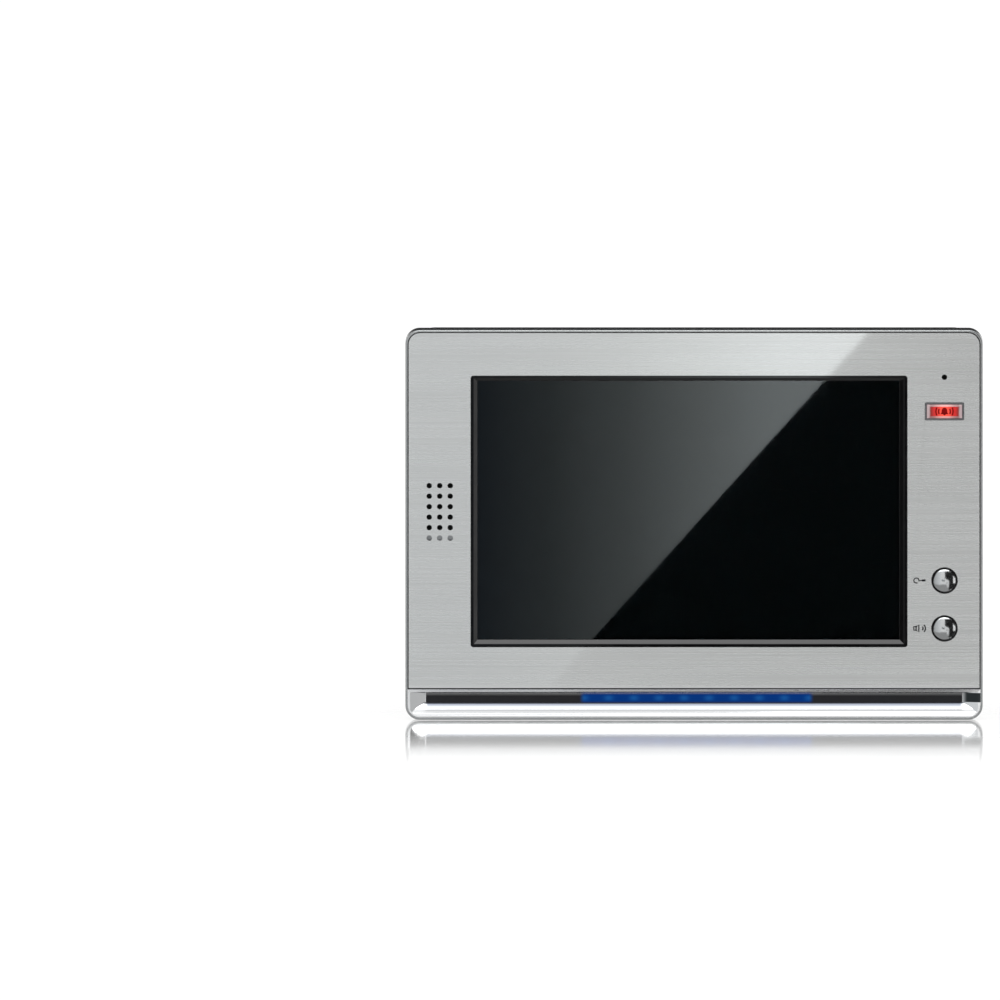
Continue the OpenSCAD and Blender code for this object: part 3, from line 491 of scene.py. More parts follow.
PLATED_STEEL = Finish(
    "plated_steel", (0.62, 0.63, 0.64), (0.50, 0.52, 0.54), (0.24, 0.42), (260.0,) * 3, 1.0, 2e-6
)
DISPLAY_GLASS = Finish(
    "display_glass", (0.0013, 0.0034, 0.0046), (0.0018, 0.0040, 0.0052), (0.16, 0.2), ior=1.12
)
WHITE_PLASTIC = Finish(
    "white_plastic", (0.72, 0.72, 0.70), (0.66, 0.66, 0.64), (0.4, 0.5), depth=5e-6
)
CIRCUIT_GREEN = TracedBoard(
    "circuit_green", (0.010, 0.075, 0.022), (0.014, 0.095, 0.030), (0.28, 0.36), depth=2e-5
)
AMBER_FILM = RibbedLead(
    "amber_film", (0.45, 0.20, 0.03), (0.20, 0.09, 0.02), (0.3, 0.4), wire=0.0008, depth=1e-5
)
SATIN_CHROME = Finish(
    "satin_chrome", (0.56, 0.57, 0.575), (0.53, 0.54, 0.545), (0.13, 0.16), (120.0,) * 3, 1.0
)
LAMP_WHITE = Finish("lamp_white", (0.80, 0.78, 0.62), (0.72, 0.70, 0.52), (0.3, 0.4))
DIFFUSER = Finish(
    "diffuser", (0.78, 0.80, 0.82), (0.72, 0.74, 0.77), (0.45, 0.55), transmission=0.3
)
SPEAKER_STEEL = Finish(
    "speaker_steel", (0.40, 0.41, 0.42), (0.32, 0.33, 0.34), (0.3, 0.4), (500.0,) * 3, 1.0, 3e-6
)
SPEAKER_PAPER = Finish(
    "speaker_paper", (0.012, 0.012, 0.012), (0.030, 0.029, 0.028), (0.8, 0.95), depth=5e-5
)
MAGNET = Finish("magnet", (0.050, 0.050, 0.052), (0.085, 0.085, 0.088), (0.55, 0.7), depth=2e-5)
MIC_CAN = Finish("mic_can", (0.60, 0.61, 0.62), (0.5, 0.51, 0.52), (0.25, 0.35), metallic=1.0)
BLACK_RUBBER = Finish(
    "black_rubber", (0.015, 0.015, 0.016), (0.028, 0.028, 0.029), (0.7, 0.85), depth=2e-5
)
BLACK_PLASTIC = Finish(
    "black_plastic", (0.010, 0.010, 0.011), (0.018, 0.018, 0.019), (0.25, 0.4), depth=6e-6
)
GREY_FRAME = Finish(
    "grey_frame", (0.10, 0.10, 0.105), (0.14, 0.14, 0.145), (0.2, 0.3), metallic=0.5
)
CHIP_BLACK = Finish(
    "chip_black", (0.012, 0.012, 0.013), (0.024, 0.024, 0.026), (0.5, 0.65), (3000.0,) * 3,
    depth=8e-6,
)
SLEEVE = Finish("capacitor_sleeve", (0.012, 0.030, 0.10), (0.020, 0.045, 0.14), (0.3, 0.4))
SHIELD = Finish(
    "shield_steel", (0.62, 0.63, 0.62), (0.52, 0.53, 0.52), (0.25, 0.4), (200.0,) * 3, 1.0, 2e-6
)
FERRITE = Finish("ferrite_grey", (0.06, 0.06, 0.065), (0.11, 0.11, 0.115), (0.55, 0.7), depth=2e-5)
IVORY = Finish("ivory_plastic", (0.70, 0.66, 0.54), (0.64, 0.60, 0.48), (0.35, 0.45), depth=5e-6)
REAR_PLASTIC = Finish(
    "rear_plastic", (0.095, 0.097, 0.099), (0.115, 0.117, 0.120), (0.42, 0.55), (1500.0,) * 3,
    depth=1.6e-5, ior=1.3,
)
LABEL_FILM = Finish("label_film", (0.62, 0.63, 0.63), (0.56, 0.57, 0.57), (0.25, 0.35), (80.0,) * 3)
WHEEL_PLASTIC = Finish(
    "wheel_plastic", (0.020, 0.020, 0.021), (0.032, 0.032, 0.034), (0.4, 0.55), depth=1e-5
)
DARK_INK = Finish(
    "dark_ink", (0.006, 0.006, 0.007), (0.016, 0.016, 0.017), (0.35, 0.5), (4000.0,) * 3, ior=1.2
)
ALARM_INK = Finish(
    "alarm_ink", (0.15, 0.002, 0.002), (0.20, 0.003, 0.003), (0.35, 0.5), (4000.0,) * 3, ior=1.12
)

ALARM_CLEAR = LampGlow("alarm_red", (0.20, 0.012, 0.010), (0.15, 0.010, 0.009), (0.08, 0.14))
ALARM_FACET = LampGlow(
    "alarm_facet", (0.16, 0.11, 0.11), (0.12, 0.08, 0.08), (0.06, 0.12),
    reach=(0.0010, 0.0070, 0.0083), glow=(0.62, 0.26, 0.24), rim=(0.16, 0.05, 0.05),
    end=(0.34, 0.27, 0.28),
)
ALARM_BODY = Finish("alarm_body", (0.30, 0.02, 0.02), (0.24, 0.015, 0.015), (0.12, 0.2))
# Chrome with painted shade on the lip's top and in the cove's right end.
PAINTED_SHADE_CHROME = PaintedShadeChrome(
    "chrome", (0.90, 0.91, 0.92), (0.86, 0.87, 0.885), (0.06, 0.07), (120.0,) * 3, 1.0
)
SMOKED_BAR = LitBar(
    "smoked_bar", (0.020, 0.020, 0.022), (0.026, 0.026, 0.028), (0.08, 0.14), ior=1.15
)
RED_LEAD = RibbedLead("red", (0.42, 0.03, 0.02), (0.10, 0.01, 0.01), (0.35, 0.45), depth=2e-4)


# ---- meshes --------------------------------------------------------------------------


def round_loop(
    x0: float, x1: float, z0: float, z1: float, r: float, y: float, steps: int = 6
) -> list[Point]:
    """A rounded rectangle's outline at one depth.

    Args:
        x0, x1: Its left and right sides.
        z0, z1: Its lower and upper sides.
        r: Its corner radius.
        y: Its depth.
        steps: How many lines a corner is drawn with.

    Returns:
        Its points, anticlockwise as seen from the room.
    """
    corners = ((x1 - r, z1 - r, 0), (x0 + r, z1 - r, 1), (x0 + r, z0 + r, 2), (x1 - r, z0 + r, 3))
    return [
        (x + r * cos(a), y, z + r * sin(a))
        for x, z, quarter in corners
        for a in (pi / 2 * (quarter + i / steps) for i in range(steps + 1))
    ]


def ring_loop(x: float, z: float, r: float, y: float, steps: int = 48) -> list[Point]:
    """A circle's outline at one depth, anticlockwise as seen from the room."""
    angles = (tau * i / steps for i in range(steps))
    return [(x + r * cos(a), y, z + r * sin(a)) for a in angles]


class Shell:
    """A closed mesh while it is built, skinned over outlines of equal length."""

    def __init__(self) -> None:
        self.mesh = bmesh.new()

    def loop(self, points: Sequence[Point]) -> list[bmesh.types.BMVert]:
        """Adds an outline's corners."""
        return [self.mesh.verts.new(p) for p in points]

    def skin(self, loops: Sequence[list[bmesh.types.BMVert]], slot: int = 0) -> None:
        """Joins each outline to the next with faces of one material slot."""
        for near, far in zip(loops, loops[1:]):
            for i in range(len(near)):
                j = (i + 1) % len(near)
                self.mesh.faces.new((near[i], near[j], far[j], far[i])).material_index = slot

    def cap(self, loop: list[bmesh.types.BMVert], slot: int = 0) -> None:
        """Closes an outline with one face."""
        self.mesh.faces.new(loop).material_index = slot

    def column(self, outlines: Sequence[Sequence[Point]], slot: int = 0) -> None:
        """Adds a closed solid over a row of outlines.

        Args:
            outlines: The outlines, from one end to the other.
            slot: Its material slot.
        """
        loops = [self.loop(points) for points in outlines]
        self.skin(loops, slot)
        self.cap(loops[0], slot)
        self.cap(loops[-1], slot)

    def finish(
        self, name: str, body: str, materials: Sequence[Material], crease: float = 35.0
    ) -> Object:
        """Turns the mesh into a piece that rides on a body.

        Args:
            name: The piece's name.
            body: The body that it rides on.
            materials: One material for each slot.
            crease: The angle in degrees past which an edge stays sharp.

        Returns:
            The piece.
        """
        bmesh.ops.recalc_face_normals(self.mesh, faces=self.mesh.faces[:])
        data = bpy.data.meshes.new(name)
        self.mesh.to_mesh(data)
        self.mesh.free()
        for material in materials:
            data.materials.append(material)
        data.shade_smooth()
        data.set_sharp_from_angle(angle=radians(crease))
        piece = bpy.data.objects.new(name, data)
        bpy.context.scene.collection.objects.link(piece)
        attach(piece, body)
        log.info("piece %s on %s: %d faces", name, body, len(data.polygons))
        return piece


class Print:
    """A printed mark: strokes and filled shapes with a film's thickness.

    Args:
        centre: The mark's middle, in X and Z.
        depth: The surface that it is printed on.
        film: The print's thickness.
    """

    def __init__(self, centre: Spot, depth: float, film: float) -> None:
        self.centre, self.depth, self.film = centre, depth, film
        self.shell = Shell()

    def fill(self, outline: Sequence[Spot]) -> None:
        """Adds a filled shape, its outline given round the mark's middle."""
        x, z = self.centre
        depths = (self.depth - self.film, self.depth + self.film)
        self.shell.column([[(x + a, y, z + b) for a, b in outline] for y in depths])

    def stroke(self, line: Sequence[Spot], width: float) -> None:
        """Adds a line of one width.

        Args:
            line: The points that it follows, round the mark's middle.
            width: Its width.
        """
        pairs: list[tuple[Spot, Spot]] = []
        for i, (a, b) in enumerate(line):
            before, after = line[max(i - 1, 0)], line[min(i + 1, len(line) - 1)]
            run = Vector((after[0] - before[0], after[1] - before[1])).normalized() * (width / 2)
            pairs.append(((a - run.y, b + run.x), (a + run.y, b - run.x)))
        for (left, right), (next_left, next_right) in zip(pairs, pairs[1:]):
            self.fill([left, next_left, next_right, right])

    def arc(self, middle: Spot, r: float, span: Spot, width: float, steps: int = 14) -> None:
        """Adds an arc.

        Args:
            middle: The arc's centre, round the mark's middle.
            r: Its radius.
            span: Its first and last angle, in degrees.
            width: Its line's width.
            steps: How many lines it is drawn with.
        """
        turns = (radians(span[0] + (span[1] - span[0]) * i / steps) for i in range(steps + 1))
        x, z = middle
        self.stroke([(x + r * cos(a), z + r * sin(a)) for a in turns], width)

    def finish(self, name: str, body: str, ink: Material) -> Object:
        """Turns the mark into a piece that rides on a body."""
        return self.shell.finish(name, body, [ink])


def centre_of(node: str) -> Spot:
    """A CAD node's middle, in X and Z."""
    low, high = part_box(node)
    return (low[0] + high[0]) / 2, (low[2] + high[2]) / 2


def front_of(node: str) -> float:
    """The depth of a CAD node's frontmost point."""
    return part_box(node)[0][1]


def dress(finishes: dict[str, Finish]) -> None:
    """Gives carried-over CAD nodes their finishes, and draws each finish up once.

    Args:
        finishes: Each node's finish, by the node's name.
    """
    made = {finish: finish.make() for finish in dict.fromkeys(finishes.values())}
    for node, finish in finishes.items():
        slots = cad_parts[node].data.materials
        slots.clear()
        slots.append(made[finish])


def soften(
    node: str, width: float, segments: int = 2, angle: float = 40.0, finish: Finish | None = None
) -> None:
    """Breaks the sharp edges of a carried-over CAD node by modifiers alone.

    Args:
        node: The node's name.
        width: How far the broken edge reaches.
        segments: How many faces it is drawn with.
        angle: The angle in degrees past which an edge counts as sharp.
        finish: The broken edge's finish, where it isn't the node's own.
    """
    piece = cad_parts[node]
    weld = piece.modifiers.new("weld", "WELD")
    weld.merge_threshold = MM / 1000
    edge = piece.modifiers.new("edge", "BEVEL")
    edge.width = width
    edge.segments = segments
    edge.limit_method = "ANGLE"
    edge.angle_limit = radians(angle)
    edge.harden_normals = True
    edge.material = 0
    if finish:
        piece.data.materials.append(finish.make())
        edge.material = 1


# ---- sub-assemblies ------------------------------------------------------------------


@dataclass
class Case:
    """The two housings with their screws, and the label on the back."""

    edge: float = 0.25 * MM

    def build(self) -> None:
        """Dresses the shells."""
        dress({
            "front_housing": SILVER_PAINT, "rear_housing": REAR_PLASTIC,
            "case_screws_set": PLATED_STEEL, "rating_label": LABEL_FILM,
        })
        soften("rear_housing", self.edge)


class RoundKey(Enum):
    """The two round keys, each with a symbol beside it."""

    UNLOCK = "unlock"
    TALK = "talk"


@dataclass
class FacePlate:
    """The brushed plate, its polished edges, a black strip in the groove as painted shade, and its
    two symbols.
    """

    edge: float = 0.36 * MM
    film: float = 0.02 * MM
    symbol_gap: float = 4.6 * MM
    groove: float = 0.6 * MM
    # The black strip laid in the groove as painted shade: its gap to the groove's walls, its depth
    # and its arch.
    shade_strip_gap: float = 0.03 * MM
    shade_strip_depth: float = 0.2 * MM
    shade_strip_arch: float = 0.1 * MM
    corner: float = 5.8 * MM

    def build(self) -> None:
        """Dresses the plate, prints the symbols and lays the black strip of painted shade in the
        groove.
        """
        dress({"face_plate": BRUSHED})
        soften("face_plate", self.edge, finish=POLISHED_EDGE)
        ink = DARK_INK.make()
        for key in RoundKey:
            self.symbol(key, ink)
        self.shade_strip()

    def shade_strip(self) -> Object:
        """Lays a black strip in the groove round the plate, as painted shade in the groove.

        Returns:
            The strip of painted shade.
        """
        low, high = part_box("face_plate")
        back, front = high[1] - self.shade_strip_gap, low[1] + self.shade_strip_depth
        below = 1.0

        def outline(grow: float, y: float) -> list[Point]:
            """The plate's outline, rounded at the top and square at the foot."""
            x0, x1, z0, z1 = low[0] - grow, high[0] + grow, low[2] - grow, high[2] + grow
            top = round_loop(x0, x1, z0 - below, z1, self.corner + grow, y)
            return [*top[: len(top) // 2], (x0, y, z0), (x1, y, z0)]

        tight, wide, side = self.shade_strip_gap, self.groove - self.shade_strip_gap, front + self.shade_strip_arch
        section = (
            (tight, back), (tight, side), (self.groove / 2, front), (wide, side), (wide, back)
        )
        shell = Shell()
        loops = [shell.loop(outline(grow, y)) for grow, y in section]
        shell.skin([*loops, loops[0]])
        # Black rubber's finish, given to the strip as painted shade in the groove.
        return shell.finish("painted_groove_shade", HOUSING, [BLACK_RUBBER.make()])

    def symbol(self, key: RoundKey, ink: Material) -> Object:
        """Prints the symbol beside a round key.

        Args:
            key: Which key.
            ink: The print's finish.

        Returns:
            The printed mark.
        """
        low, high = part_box(f"{key.value}_ring")
        centre = (low[0] - self.symbol_gap, (low[2] + high[2]) / 2)
        mark = Print(centre, front_of("face_plate"), self.film)
        if key is RoundKey.UNLOCK:
            self.door_key(mark)
        else:
            self.speaker(mark)
        return mark.finish(f"{key.value}_symbol", HOUSING, ink)

    @staticmethod
    def door_key(mark: Print) -> None:
        """Draws a door key on its side, with an open bow and a stout bit."""
        neck = [(-0.6 * MM, -0.25 * MM), (0.5 * MM, 0.0), (1.2 * MM, 0.05 * MM)]
        bit = [(1.1 * MM, 0.0), (3.0 * MM, 0.1 * MM)]
        mark.arc((-1.75 * MM, 0.0), 1.3 * MM, (-20, 300), 0.55 * MM, 30)
        mark.stroke(neck, 0.5 * MM)
        mark.stroke(bit, 1.05 * MM)

    @staticmethod
    def speaker(mark: Print) -> None:
        """Draws a loudspeaker with two sound arcs."""
        line = 0.68 * MM
        left, neck, right = -3.1 * MM, -1.9 * MM, -0.5 * MM
        low, high = 0.9 * MM, 1.9 * MM
        mark.stroke([(neck, low), (left, low), (left, -low), (neck, -low)], line)
        mark.stroke([(neck, low), (right, high), (right, -high), (neck, -low), (neck, low)], line)
        for r in (1.2 * MM, 2.4 * MM):
            mark.arc((0.5 * MM, 0.0), r, (-48, 48), line)


@dataclass
class Screen:
    """The display behind its window, with the gloss black surround."""

    edge: float = 0.16 * MM

    def build(self) -> None:
        """Dresses the display's layers."""
        dress({
            "screen_surround": GLOSS_BLACK, "screen_lens": CLEAR_WINDOW, "window_gasket": FOAM,
            "lcd_frame": PLATED_STEEL, "lcd_clamps": PLATED_STEEL,
            "lcd_clamp_screws": PLATED_STEEL, "lcd_panel": DISPLAY_GLASS,
            "lcd_backlight": WHITE_PLASTIC, "lcd_driver_board": CIRCUIT_GREEN,
            "lcd_flat_lead": AMBER_FILM,
        })
        soften("screen_surround", self.edge, segments=3, angle=20.0)


@dataclass
class Chin:
    """The polished bar along the bottom and the lit strip in it."""

    edge: float = 0.15 * MM
    strip_middle: float = 1.3 * MM
    strip_half: float = 59.0 * MM
    lip_gap: float = 0.1 * MM
    # Where the chrome's painted shade on the lip starts and where it is full, below the lip's top.
    painted_shade_start: float = 6.0 * MM
    painted_shade_full: float = 0.2 * MM
    # The cove's band, whose right end is painted near black as shade.
    cove_start: float = 0.4 * MM
    cove_past: float = 0.3 * MM

    def build(self) -> None:
        """Dresses the bar, the strip and the lamps behind it."""
        low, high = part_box("light_bar")
        lip_top = low[2] - self.lip_gap
        # The chrome carries painted shade on the lip's top and in the cove's right end.
        chrome = replace(
            PAINTED_SHADE_CHROME,
            painted_shade_heights=(lip_top - self.painted_shade_start, lip_top - self.painted_shade_full),
            cove=(lip_top + self.cove_start, high[2] + self.cove_past),
        )
        centre = (self.strip_middle, (low[2] + high[2]) / 2)
        bar = replace(SMOKED_BAR, centre=centre, half=self.strip_half)
        dress({
            "chin_trim": chrome, "light_bar": bar, "light_guide": DIFFUSER,
            "strip_led_board": WHITE_PLASTIC, "strip_leds": LAMP_WHITE,
            "strip_board_screws": PLATED_STEEL,
        })
        soften("chin_trim", self.edge)


@dataclass
class Sound:
    """The speaker behind the grille and the microphone."""

    mesh_r: float = 1.34 * MM
    mesh_depth: float = 1.1 * MM
    dish: tuple[Spot, ...] = (
        (0.25, 0.16), (0.6, 0.12), (0.9, 0.02), (1.0, 0.0), (1.0, 0.3), (0.8, 0.36), (0.3, 0.4)
    )

    def build(self) -> None:
        """Dresses both."""
        dress({
            "speaker_frame": SPEAKER_STEEL, "speaker_cone": SPEAKER_PAPER,
            "speaker_magnet": MAGNET, "speaker_gasket": FOAM, "speaker_clamp": PLATED_STEEL,
            "speaker_screws": PLATED_STEEL, "microphone": MIC_CAN,
            "microphone_boot": BLACK_RUBBER,
        })
        self.gauze()

    def gauze(self) -> Object:
        """Builds the dished disc of black gauze in the microphone's hole.

        Returns:
            The disc.
        """
        x, z = centre_of("microphone")
        front = front_of("face_plate") + self.mesh_depth
        shell = Shell()
        shell.column(
            [ring_loop(x, z, self.mesh_r * r, front + y * MM, 32) for r, y in self.dish]
        )
        return shell.finish("microphone_gauze", HOUSING, [GAUZE.make()])


@dataclass
class RoundKeys:
    """The two domed chrome keys in their black collars."""

    cap_edge: float = 0.12 * MM
    collar_edge: float = 0.25 * MM

    def build(self) -> None:
        """Dresses the caps, collars and plungers."""
        parts = {"button": SATIN_CHROME, "ring": GLOSS_BLACK, "plunger": BLACK_PLASTIC}
        keys = [key.value for key in RoundKey]
        dress({f"{key}_{part}": parts[part] for key in keys for part in parts})
        for key in keys:
            soften(f"{key}_button", self.cap_edge)
            soften(f"{key}_ring", self.collar_edge, segments=3)


@dataclass
class AlarmKey:
    """The clear red key, bevelled on four sides, with a bell on it."""

    frame_edge: float = 0.12 * MM
    frame_band: float = 1.4 * MM
    rim: float = 1.0 * MM
    proud: float = 0.18 * MM
    shoulder: float = 0.25 * MM
    corner: float = 0.25 * MM
    face_corner: float = 0.12 * MM
    side_bevel: float = 1.7 * MM
    end_bevel: float = 1.05 * MM
    seat_depth: float = 4.4 * MM
    flange_thick: float = 1.0 * MM
    flange_corner: float = 0.8 * MM
    stem_r: float = 1.5 * MM
    bell_wide: float = 3.2 * MM
    film: float = 0.02 * MM

    def build(self) -> None:
        """Builds the cap and its bell, and dresses the frame and the lamps."""
        dress({
            "alarm_frame": GREY_FRAME, "alarm_plunger": BLACK_PLASTIC, "alarm_lamps": LAMP_WHITE
        })
        soften("alarm_frame", self.frame_edge)
        self.cap()
        self.bell()

    def cap(self) -> Object:
        """Builds the cap, a bevelled block on a flange and a stem, in place of the plain one.

        Returns:
            The cap.
        """
        low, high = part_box("alarm_button")
        frame_low, frame_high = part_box("alarm_frame")
        x, z = centre = centre_of("alarm_button")
        half_x = (frame_high[0] - frame_low[0]) / 2 - self.frame_band - self.rim
        half_z = (frame_high[2] - frame_low[2]) / 2 - self.frame_band - self.rim
        seat = low[1] + self.seat_depth

        def outline(dx: float, dz: float, y: float, r: float) -> list[Point]:
            """The cap's outline drawn in by dx and dz."""
            wide, tall = half_x - dx, half_z - dz
            return round_loop(x - wide, x + wide, z - tall, z + tall, r, y)

        shell = Shell()
        outlines = (
            outline(0, 0, seat, self.corner),
            outline(0, 0, low[1] + self.shoulder, self.corner),
            outline(self.side_bevel, self.end_bevel, low[1] - self.proud, self.face_corner),
        )
        loops = [shell.loop(points) for points in outlines]
        shell.skin(loops[:2])
        shell.skin(loops[1:], 1)
        shell.cap(loops[2], 2)
        shell.cap(loops[0])
        flange = (low[0], high[0], low[2], high[2], self.flange_corner)
        shell.column([round_loop(*flange, y) for y in (seat, seat + self.flange_thick)])
        stem = (seat + self.flange_thick / 2, high[1])
        shell.column([ring_loop(x, z, self.stem_r, y, 32) for y in stem])
        finishes = (
            ALARM_BODY, replace(ALARM_FACET, centre=centre), replace(ALARM_CLEAR, centre=centre)
        )
        piece = shell.finish("alarm_cap", "alarm_key", [each.make() for each in finishes], 12.0)
        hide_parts("alarm_button")
        return piece

    def bell(self) -> Object:
        """Prints a bell on the cap, with two arcs of sound on each side.

        Returns:
            The printed mark.
        """
        depth = front_of("alarm_button") - self.proud
        mark = Print(centre_of("alarm_button"), depth, self.film)
        wide, foot, dome_foot, dome_tall = self.bell_wide / 2, -1.05 * MM, 0.25 * MM, 1.75 * MM
        half_turn = [pi * i / 12 for i in range(13)]
        dome = [
            (wide * 0.92 * cos(a), dome_foot + dome_tall * sin(a)) for a in half_turn
        ]
        mark.fill([(wide, foot), *dome, (-wide, foot)])
        brim, brim_foot = wide + 0.35 * MM, foot - 0.15 * MM
        mark.stroke([(-brim, brim_foot), (brim, brim_foot)], 0.5 * MM)
        clapper, clapper_top = 0.65 * MM, foot - 0.35 * MM
        mark.fill(
            [(clapper * cos(a), clapper_top - clapper * sin(a)) for a in half_turn]
        )
        for way in (0, 180):
            for r in (3.0 * MM, 4.4 * MM):
                mark.arc((0.0, 0.0), r, (way - 27, way + 27), 0.75 * MM)
        return mark.finish("alarm_symbol", "alarm_key", ALARM_INK.make())


@dataclass
class SideWheels:
    """The three knurled control wheels, their spindles and their board."""

    edge: float = 0.1 * MM
    names: tuple[str, ...] = ("brightness_wheel", "colour_wheel", "volume_wheel")

    def build(self) -> None:
        """Dresses the wheels and what they turn on."""
        dress(dict.fromkeys(self.names, WHEEL_PLASTIC))
        dress({"wheel_spindles": WHITE_PLASTIC, "side_control_board": CIRCUIT_GREEN})
        for wheel in self.names:
            soften(wheel, self.edge)


@dataclass
class Electronics:
    """The boards inside, what is soldered to them and their leads."""

    leads: tuple[tuple[str, str], ...] = (
        ("strip_lead", "X"), ("speaker_lead", "Z"), ("key_lead", "Z"), ("side_lead", "Z"),
        ("microphone_leads", "X"),
    )

    def build(self) -> None:
        """Dresses the boards, their parts and the leads."""
        dress({
            "main_board": CIRCUIT_GREEN, "key_board": CIRCUIT_GREEN, "board_chips": CHIP_BLACK,
            "capacitors": SLEEVE, "shield_can": SHIELD, "coils": FERRITE,
            "wiring_sockets": IVORY, "key_switches": BLACK_PLASTIC,
            "main_board_screws": PLATED_STEEL, "key_board_screws": PLATED_STEEL,
        })
        for node, across in self.leads:
            dress({node: replace(RED_LEAD, name=f"{node}_red", across=across)})


@dataclass
class WallMount:
    """The steel bracket on the wall."""

    edge: float = 0.2 * MM

    def build(self) -> None:
        """Dresses the bracket."""
        dress({"wall_bracket": PLATED_STEEL})
        soften("wall_bracket", self.edge)


# ---- studio --------------------------------------------------------------------------


@dataclass(frozen=True)
class Card:
    """A flat card of the studio, which only reflections see, or a lamp.

    Args:
        tones: Colours along X in place of its tint, each after the X where it stands.
        lamp: Whether it lights the pieces as well.
    """

    name: str
    corners: tuple[Point, ...]
    light: float = 0.0
    tint: Colour = (1.0, 1.0, 1.0)
    tones: tuple[tuple[float, Colour], ...] = ()
    lamp: bool = False

    def material(self) -> Material:
        """Draws up its light, plain or shaded along X.

        Returns:
            A new node material.
        """
        sheet = NodeSheet(self.name)
        sheet.nodes.remove(sheet.shader)
        emission = sheet.nodes.new("ShaderNodeEmission")
        emission.inputs["Strength"].default_value = self.light
        emission.inputs["Color"].default_value = (*self.tint, 1.0)
        sheet.links.new(emission.outputs[0], sheet.nodes["Material Output"].inputs[0])
        if self.tones:
            first, last = self.tones[0][0], self.tones[-1][0]
            ramp = sheet.nodes.new("ShaderNodeValToRGB")
            sheet.links.new(sheet.spread(sheet.axes()["X"], (first, last), (0, 1)), ramp.inputs[0])
            while len(ramp.color_ramp.elements) < len(self.tones):
                ramp.color_ramp.elements.new(0.5)
            for element, (x, colour) in zip(ramp.color_ramp.elements, self.tones):
                element.position = (x - first) / (last - first)
                element.color = (*colour, 1.0)
            sheet.links.new(ramp.outputs[0], emission.inputs["Color"])
        return sheet.material

    def stand(self) -> None:
        """Stands it up in the studio."""
        panel = stage_sheet(self.name, self.corners, self.material())
        panel.visible_camera = False
        panel.visible_diffuse = panel.visible_shadow = self.lamp


def stage_sheet(name: str, corners: Sequence[Point], material: Material) -> Object:
    """A flat piece of the studio.

    Args:
        name: Its name.
        corners: Its corners in order.
        material: Its finish.

    Returns:
        The piece.
    """
    data = bpy.data.meshes.new(name)
    data.from_pydata([Vector(c) for c in corners], [], [range(len(corners))])
    data.materials.append(material)
    sheet = bpy.data.objects.new(name, data)
    bpy.context.scene.collection.objects.link(sheet)
    sheet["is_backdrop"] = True
    return sheet


def upright(start: Spot, end: Spot, low: float, high: float) -> tuple[Point, ...]:
    """The four corners of a card that stands upright between two spots in X and Y."""
    return ((*start, low), (*end, low), (*end, high), (*start, high))


def level(x: Spot, y: Spot, z: float) -> tuple[Point, ...]:
    """The four corners of a card that lies level at height z."""
    return ((x[0], y[0], z), (x[1], y[0], z), (x[1], y[1], z), (x[0], y[1], z))


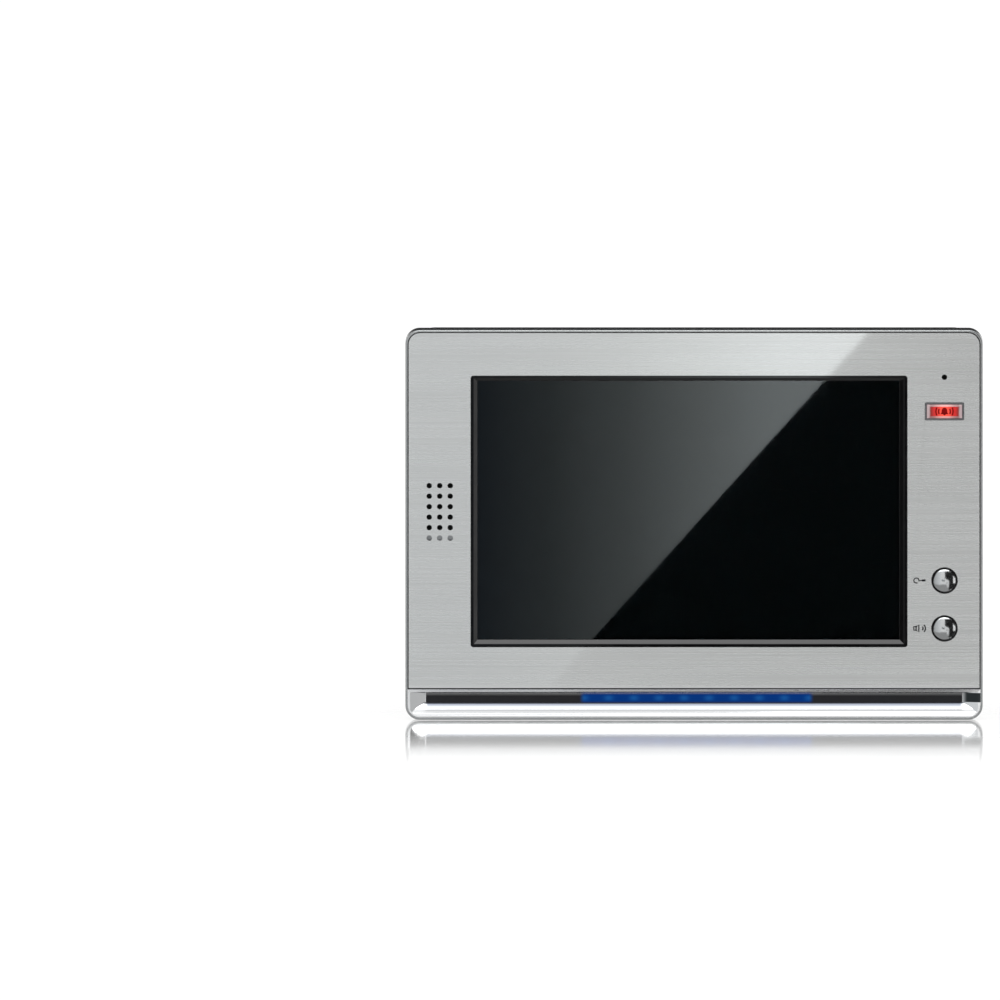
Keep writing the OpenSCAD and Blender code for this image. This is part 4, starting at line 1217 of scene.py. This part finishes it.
@dataclass
class Studio:
    """A pale floor, soft light and the camera."""

    reach: float = 0.5143
    elevation: float = 4.0
    aside: float = -0.0998
    above: float = 0.0107
    camera_away: float = 2.5
    card_away: float = 1.5
    card_wide: float = 0.1478
    card_gap: float = 0.002
    foot_tall: float = 0.0178
    flag_away: float = 1.0
    slope: float = 1.117
    slope_start: float = 0.00135
    card_low: float = -0.081
    card_high: float = 0.104
    floor_gap: float = 0.0003
    gloss_front: Spot = (-0.52, -0.03)
    gloss_most: float = 1.3
    gloss_back: float = 0.12

    def build(self) -> None:
        """Sets up the whole studio."""
        self.world()
        self.floor()
        for card in (*self.front_cards(), *self.flags(), *self.lamps()):
            card.stand()
        self.camera()
        bpy.context.scene.view_settings.view_transform = "Standard"

    def world(self) -> None:
        """A plain white surrounding."""
        world = bpy.data.worlds.new("surround")
        world.use_nodes = True
        background = world.node_tree.nodes["Background"]
        background.inputs["Color"].default_value = (1.0, 1.0, 1.0, 1.0)
        background.inputs["Strength"].default_value = 1.0
        bpy.context.scene.world = world

    def front_cards(self) -> tuple[Card, ...]:
        """What the flat front mirrors.

        Returns:
            A black card, a bright one that ends in a slope and a grey foot.
        """
        drop = self.card_away * tan(radians(self.elevation))
        y, w = -self.card_away, self.card_wide
        low, high = self.card_low - drop, self.card_high - drop
        foot, head = ((z - self.slope_start) / self.slope for z in (self.card_low, self.card_high))
        tones = (
            (-0.150, (0.004, 0.005, 0.006)),
            (-0.113, (0.0066, 0.0080, 0.0100)),
            (-0.073, (0.020, 0.0225, 0.023)),
            (-0.034, (0.045, 0.049, 0.049)),
            (0.003, (0.084, 0.090, 0.090)),
            (0.044, (0.132, 0.142, 0.144)),
            (0.090, (0.152, 0.160, 0.162)),
        )
        lit_y = y + self.card_gap
        lit = ((-w, lit_y, low), (foot, lit_y, low), (head, lit_y, high), (-w, lit_y, high))
        return (
            Card("black_card", upright((-w, y), (w, y), low, high)),
            Card("lit_card", lit, 12.0, tones=tones),
            Card("foot_card", upright((-w, y), (w, y), low - self.foot_tall, low), 0.62),
        )

    def flags(self) -> tuple[Card, ...]:
        """What the metal's edges mirror.

        Returns:
            Dark, grey and bright cards at the sides, above, below and behind.
        """
        near, left, right, y, back = 0.165, -1.3, 1.5, -self.flag_away, -0.55
        low, deep, high = -0.7, -1.6, 1.5
        dark, grey = 0.03, 0.60
        left_tones = ((left, (0.30, 0.31, 0.32)), (-near, (0.92, 0.94, 0.95)))
        cut = (
            (0.47, y, deep), (right, y, deep), (right, y, high), (near, y, high),
            (near, y, 0.08), (0.47, y, -0.10),
        )
        return (
            Card("left_card", upright((left, y), (-near, y), low, high), 1.0, tones=left_tones),
            Card("left_side_flag", upright((left, y), (left, back), low, high), dark),
            Card("right_flag", cut, 0.02),
            Card("right_side_flag", upright((right, y), (right, back), deep, high), dark),
            Card("right_strip", upright((0.90, y + 0.01), (1.10, y + 0.01), -0.35, 0.30), 1.8),
            Card("bevel_card", upright((1.49, -0.95), (1.49, -0.70), -0.4, 0.3), 1.6),
            Card("mitre_card", upright((0.175, -0.42), (0.235, -0.42), -0.145, -0.108), 0.50),
            Card("zenith_card", level((-1.0, 1.0), (-0.56, 0.9), 1.1), grey, (0.92, 0.96, 1.0)),
            Card("lower_card", level((-1.0, 0.30), (-1.2, 0.3), -0.45), 0.40),
            Card("rear_flag", upright((-0.35, 0.5), (0.35, 0.5), 0.104, 0.9)),
        )

    def lamps(self) -> tuple[Card, ...]:
        """The soft lamp above the front."""
        middle, half = Vector((0.0, -0.729, 0.824)), (0.5, 0.244)
        facing = (-middle).to_track_quat("-Z", "Y")
        across, up = facing @ Vector((half[0], 0, 0)), facing @ Vector((0, half[1], 0))
        turns = ((-1, -1), (1, -1), (1, 1), (-1, 1))
        corners = tuple(tuple(middle + across * a + up * b) for a, b in turns)
        return (Card("top_softbox", corners, 3.5, lamp=True),)

    def floor(self) -> None:
        """Lays the pale floor that the monitor stands on, with a faint gloss near it."""
        low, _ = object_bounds()
        sheet = NodeSheet("floor")
        sheet.fix(Base_Color=(0.94, 0.94, 0.94), Roughness=0.9, Specular_IOR_Level=0.0)
        sheet.fix(Emission_Color=(1.0, 1.0, 1.0), Emission_Strength=0.12)
        gloss = sheet.nodes.new("ShaderNodeBsdfGlossy")
        gloss.inputs["Roughness"].default_value = 0.07
        gloss.inputs["Color"].default_value = (1.0, 1.0, 1.0, 1.0)
        depth = sheet.axes()["Y"]
        fresnel = sheet.nodes.new("ShaderNodeFresnel")
        fresnel.inputs["IOR"].default_value = 1.45
        near = sheet.spread(depth, self.gloss_front, (0.0, self.gloss_most), True)
        behind = sheet.spread(depth, (0.0, self.gloss_back), (1, 0), True)
        near = sheet.sums("MULTIPLY", near, behind)
        near = sheet.sums("MULTIPLY", near, fresnel.outputs[0])
        mix = sheet.nodes.new("ShaderNodeMixShader")
        sheet.links.new(near, mix.inputs[0])
        sheet.links.new(sheet.shader.outputs[0], mix.inputs[1])
        sheet.links.new(gloss.outputs[0], mix.inputs[2])
        sheet.links.new(mix.outputs[0], sheet.nodes["Material Output"].inputs[0])
        corners = level((-7, 7), (-9, 9), low[2] - self.floor_gap)
        floor = stage_sheet("floor", corners, sheet.material)
        floor.visible_glossy = False
        floor.visible_transmission = False

    def camera(self) -> None:
        """Sets the camera up, level with the monitor but for a slight look down."""
        data = bpy.data.cameras.new("camera")
        data.type = "ORTHO"
        data.ortho_scale = self.reach
        data.clip_end = 50.0
        camera = bpy.data.objects.new("camera", data)
        bpy.context.scene.collection.objects.link(camera)
        tilt = radians(self.elevation)
        back = Vector((0.0, -cos(tilt), sin(tilt)))
        up = Vector((0.0, sin(tilt), cos(tilt)))
        aside = Vector((self.aside, 0.0, 0.0))
        camera.location = aside + up * self.above + back * self.camera_away
        camera.rotation_mode = "QUATERNION"
        camera.rotation_quaternion = (-back).to_track_quat("-Z", "Y")
        bpy.context.scene.camera = camera


def main() -> None:
    """Builds the looks of every sub-assembly, then the studio."""
    logging.basicConfig(level=logging.INFO, format="%(name)s: %(message)s")
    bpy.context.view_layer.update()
    for assembly in (
        Case(), FacePlate(), Screen(), Chin(), Sound(), RoundKeys(), AlarmKey(), SideWheels(),
        Electronics(), WallMount(), Studio(),
    ):
        assembly.build()
        log.info("%s built", type(assembly).__name__)
    bpy.context.view_layer.update()


if __name__ == "__main__":
    main()
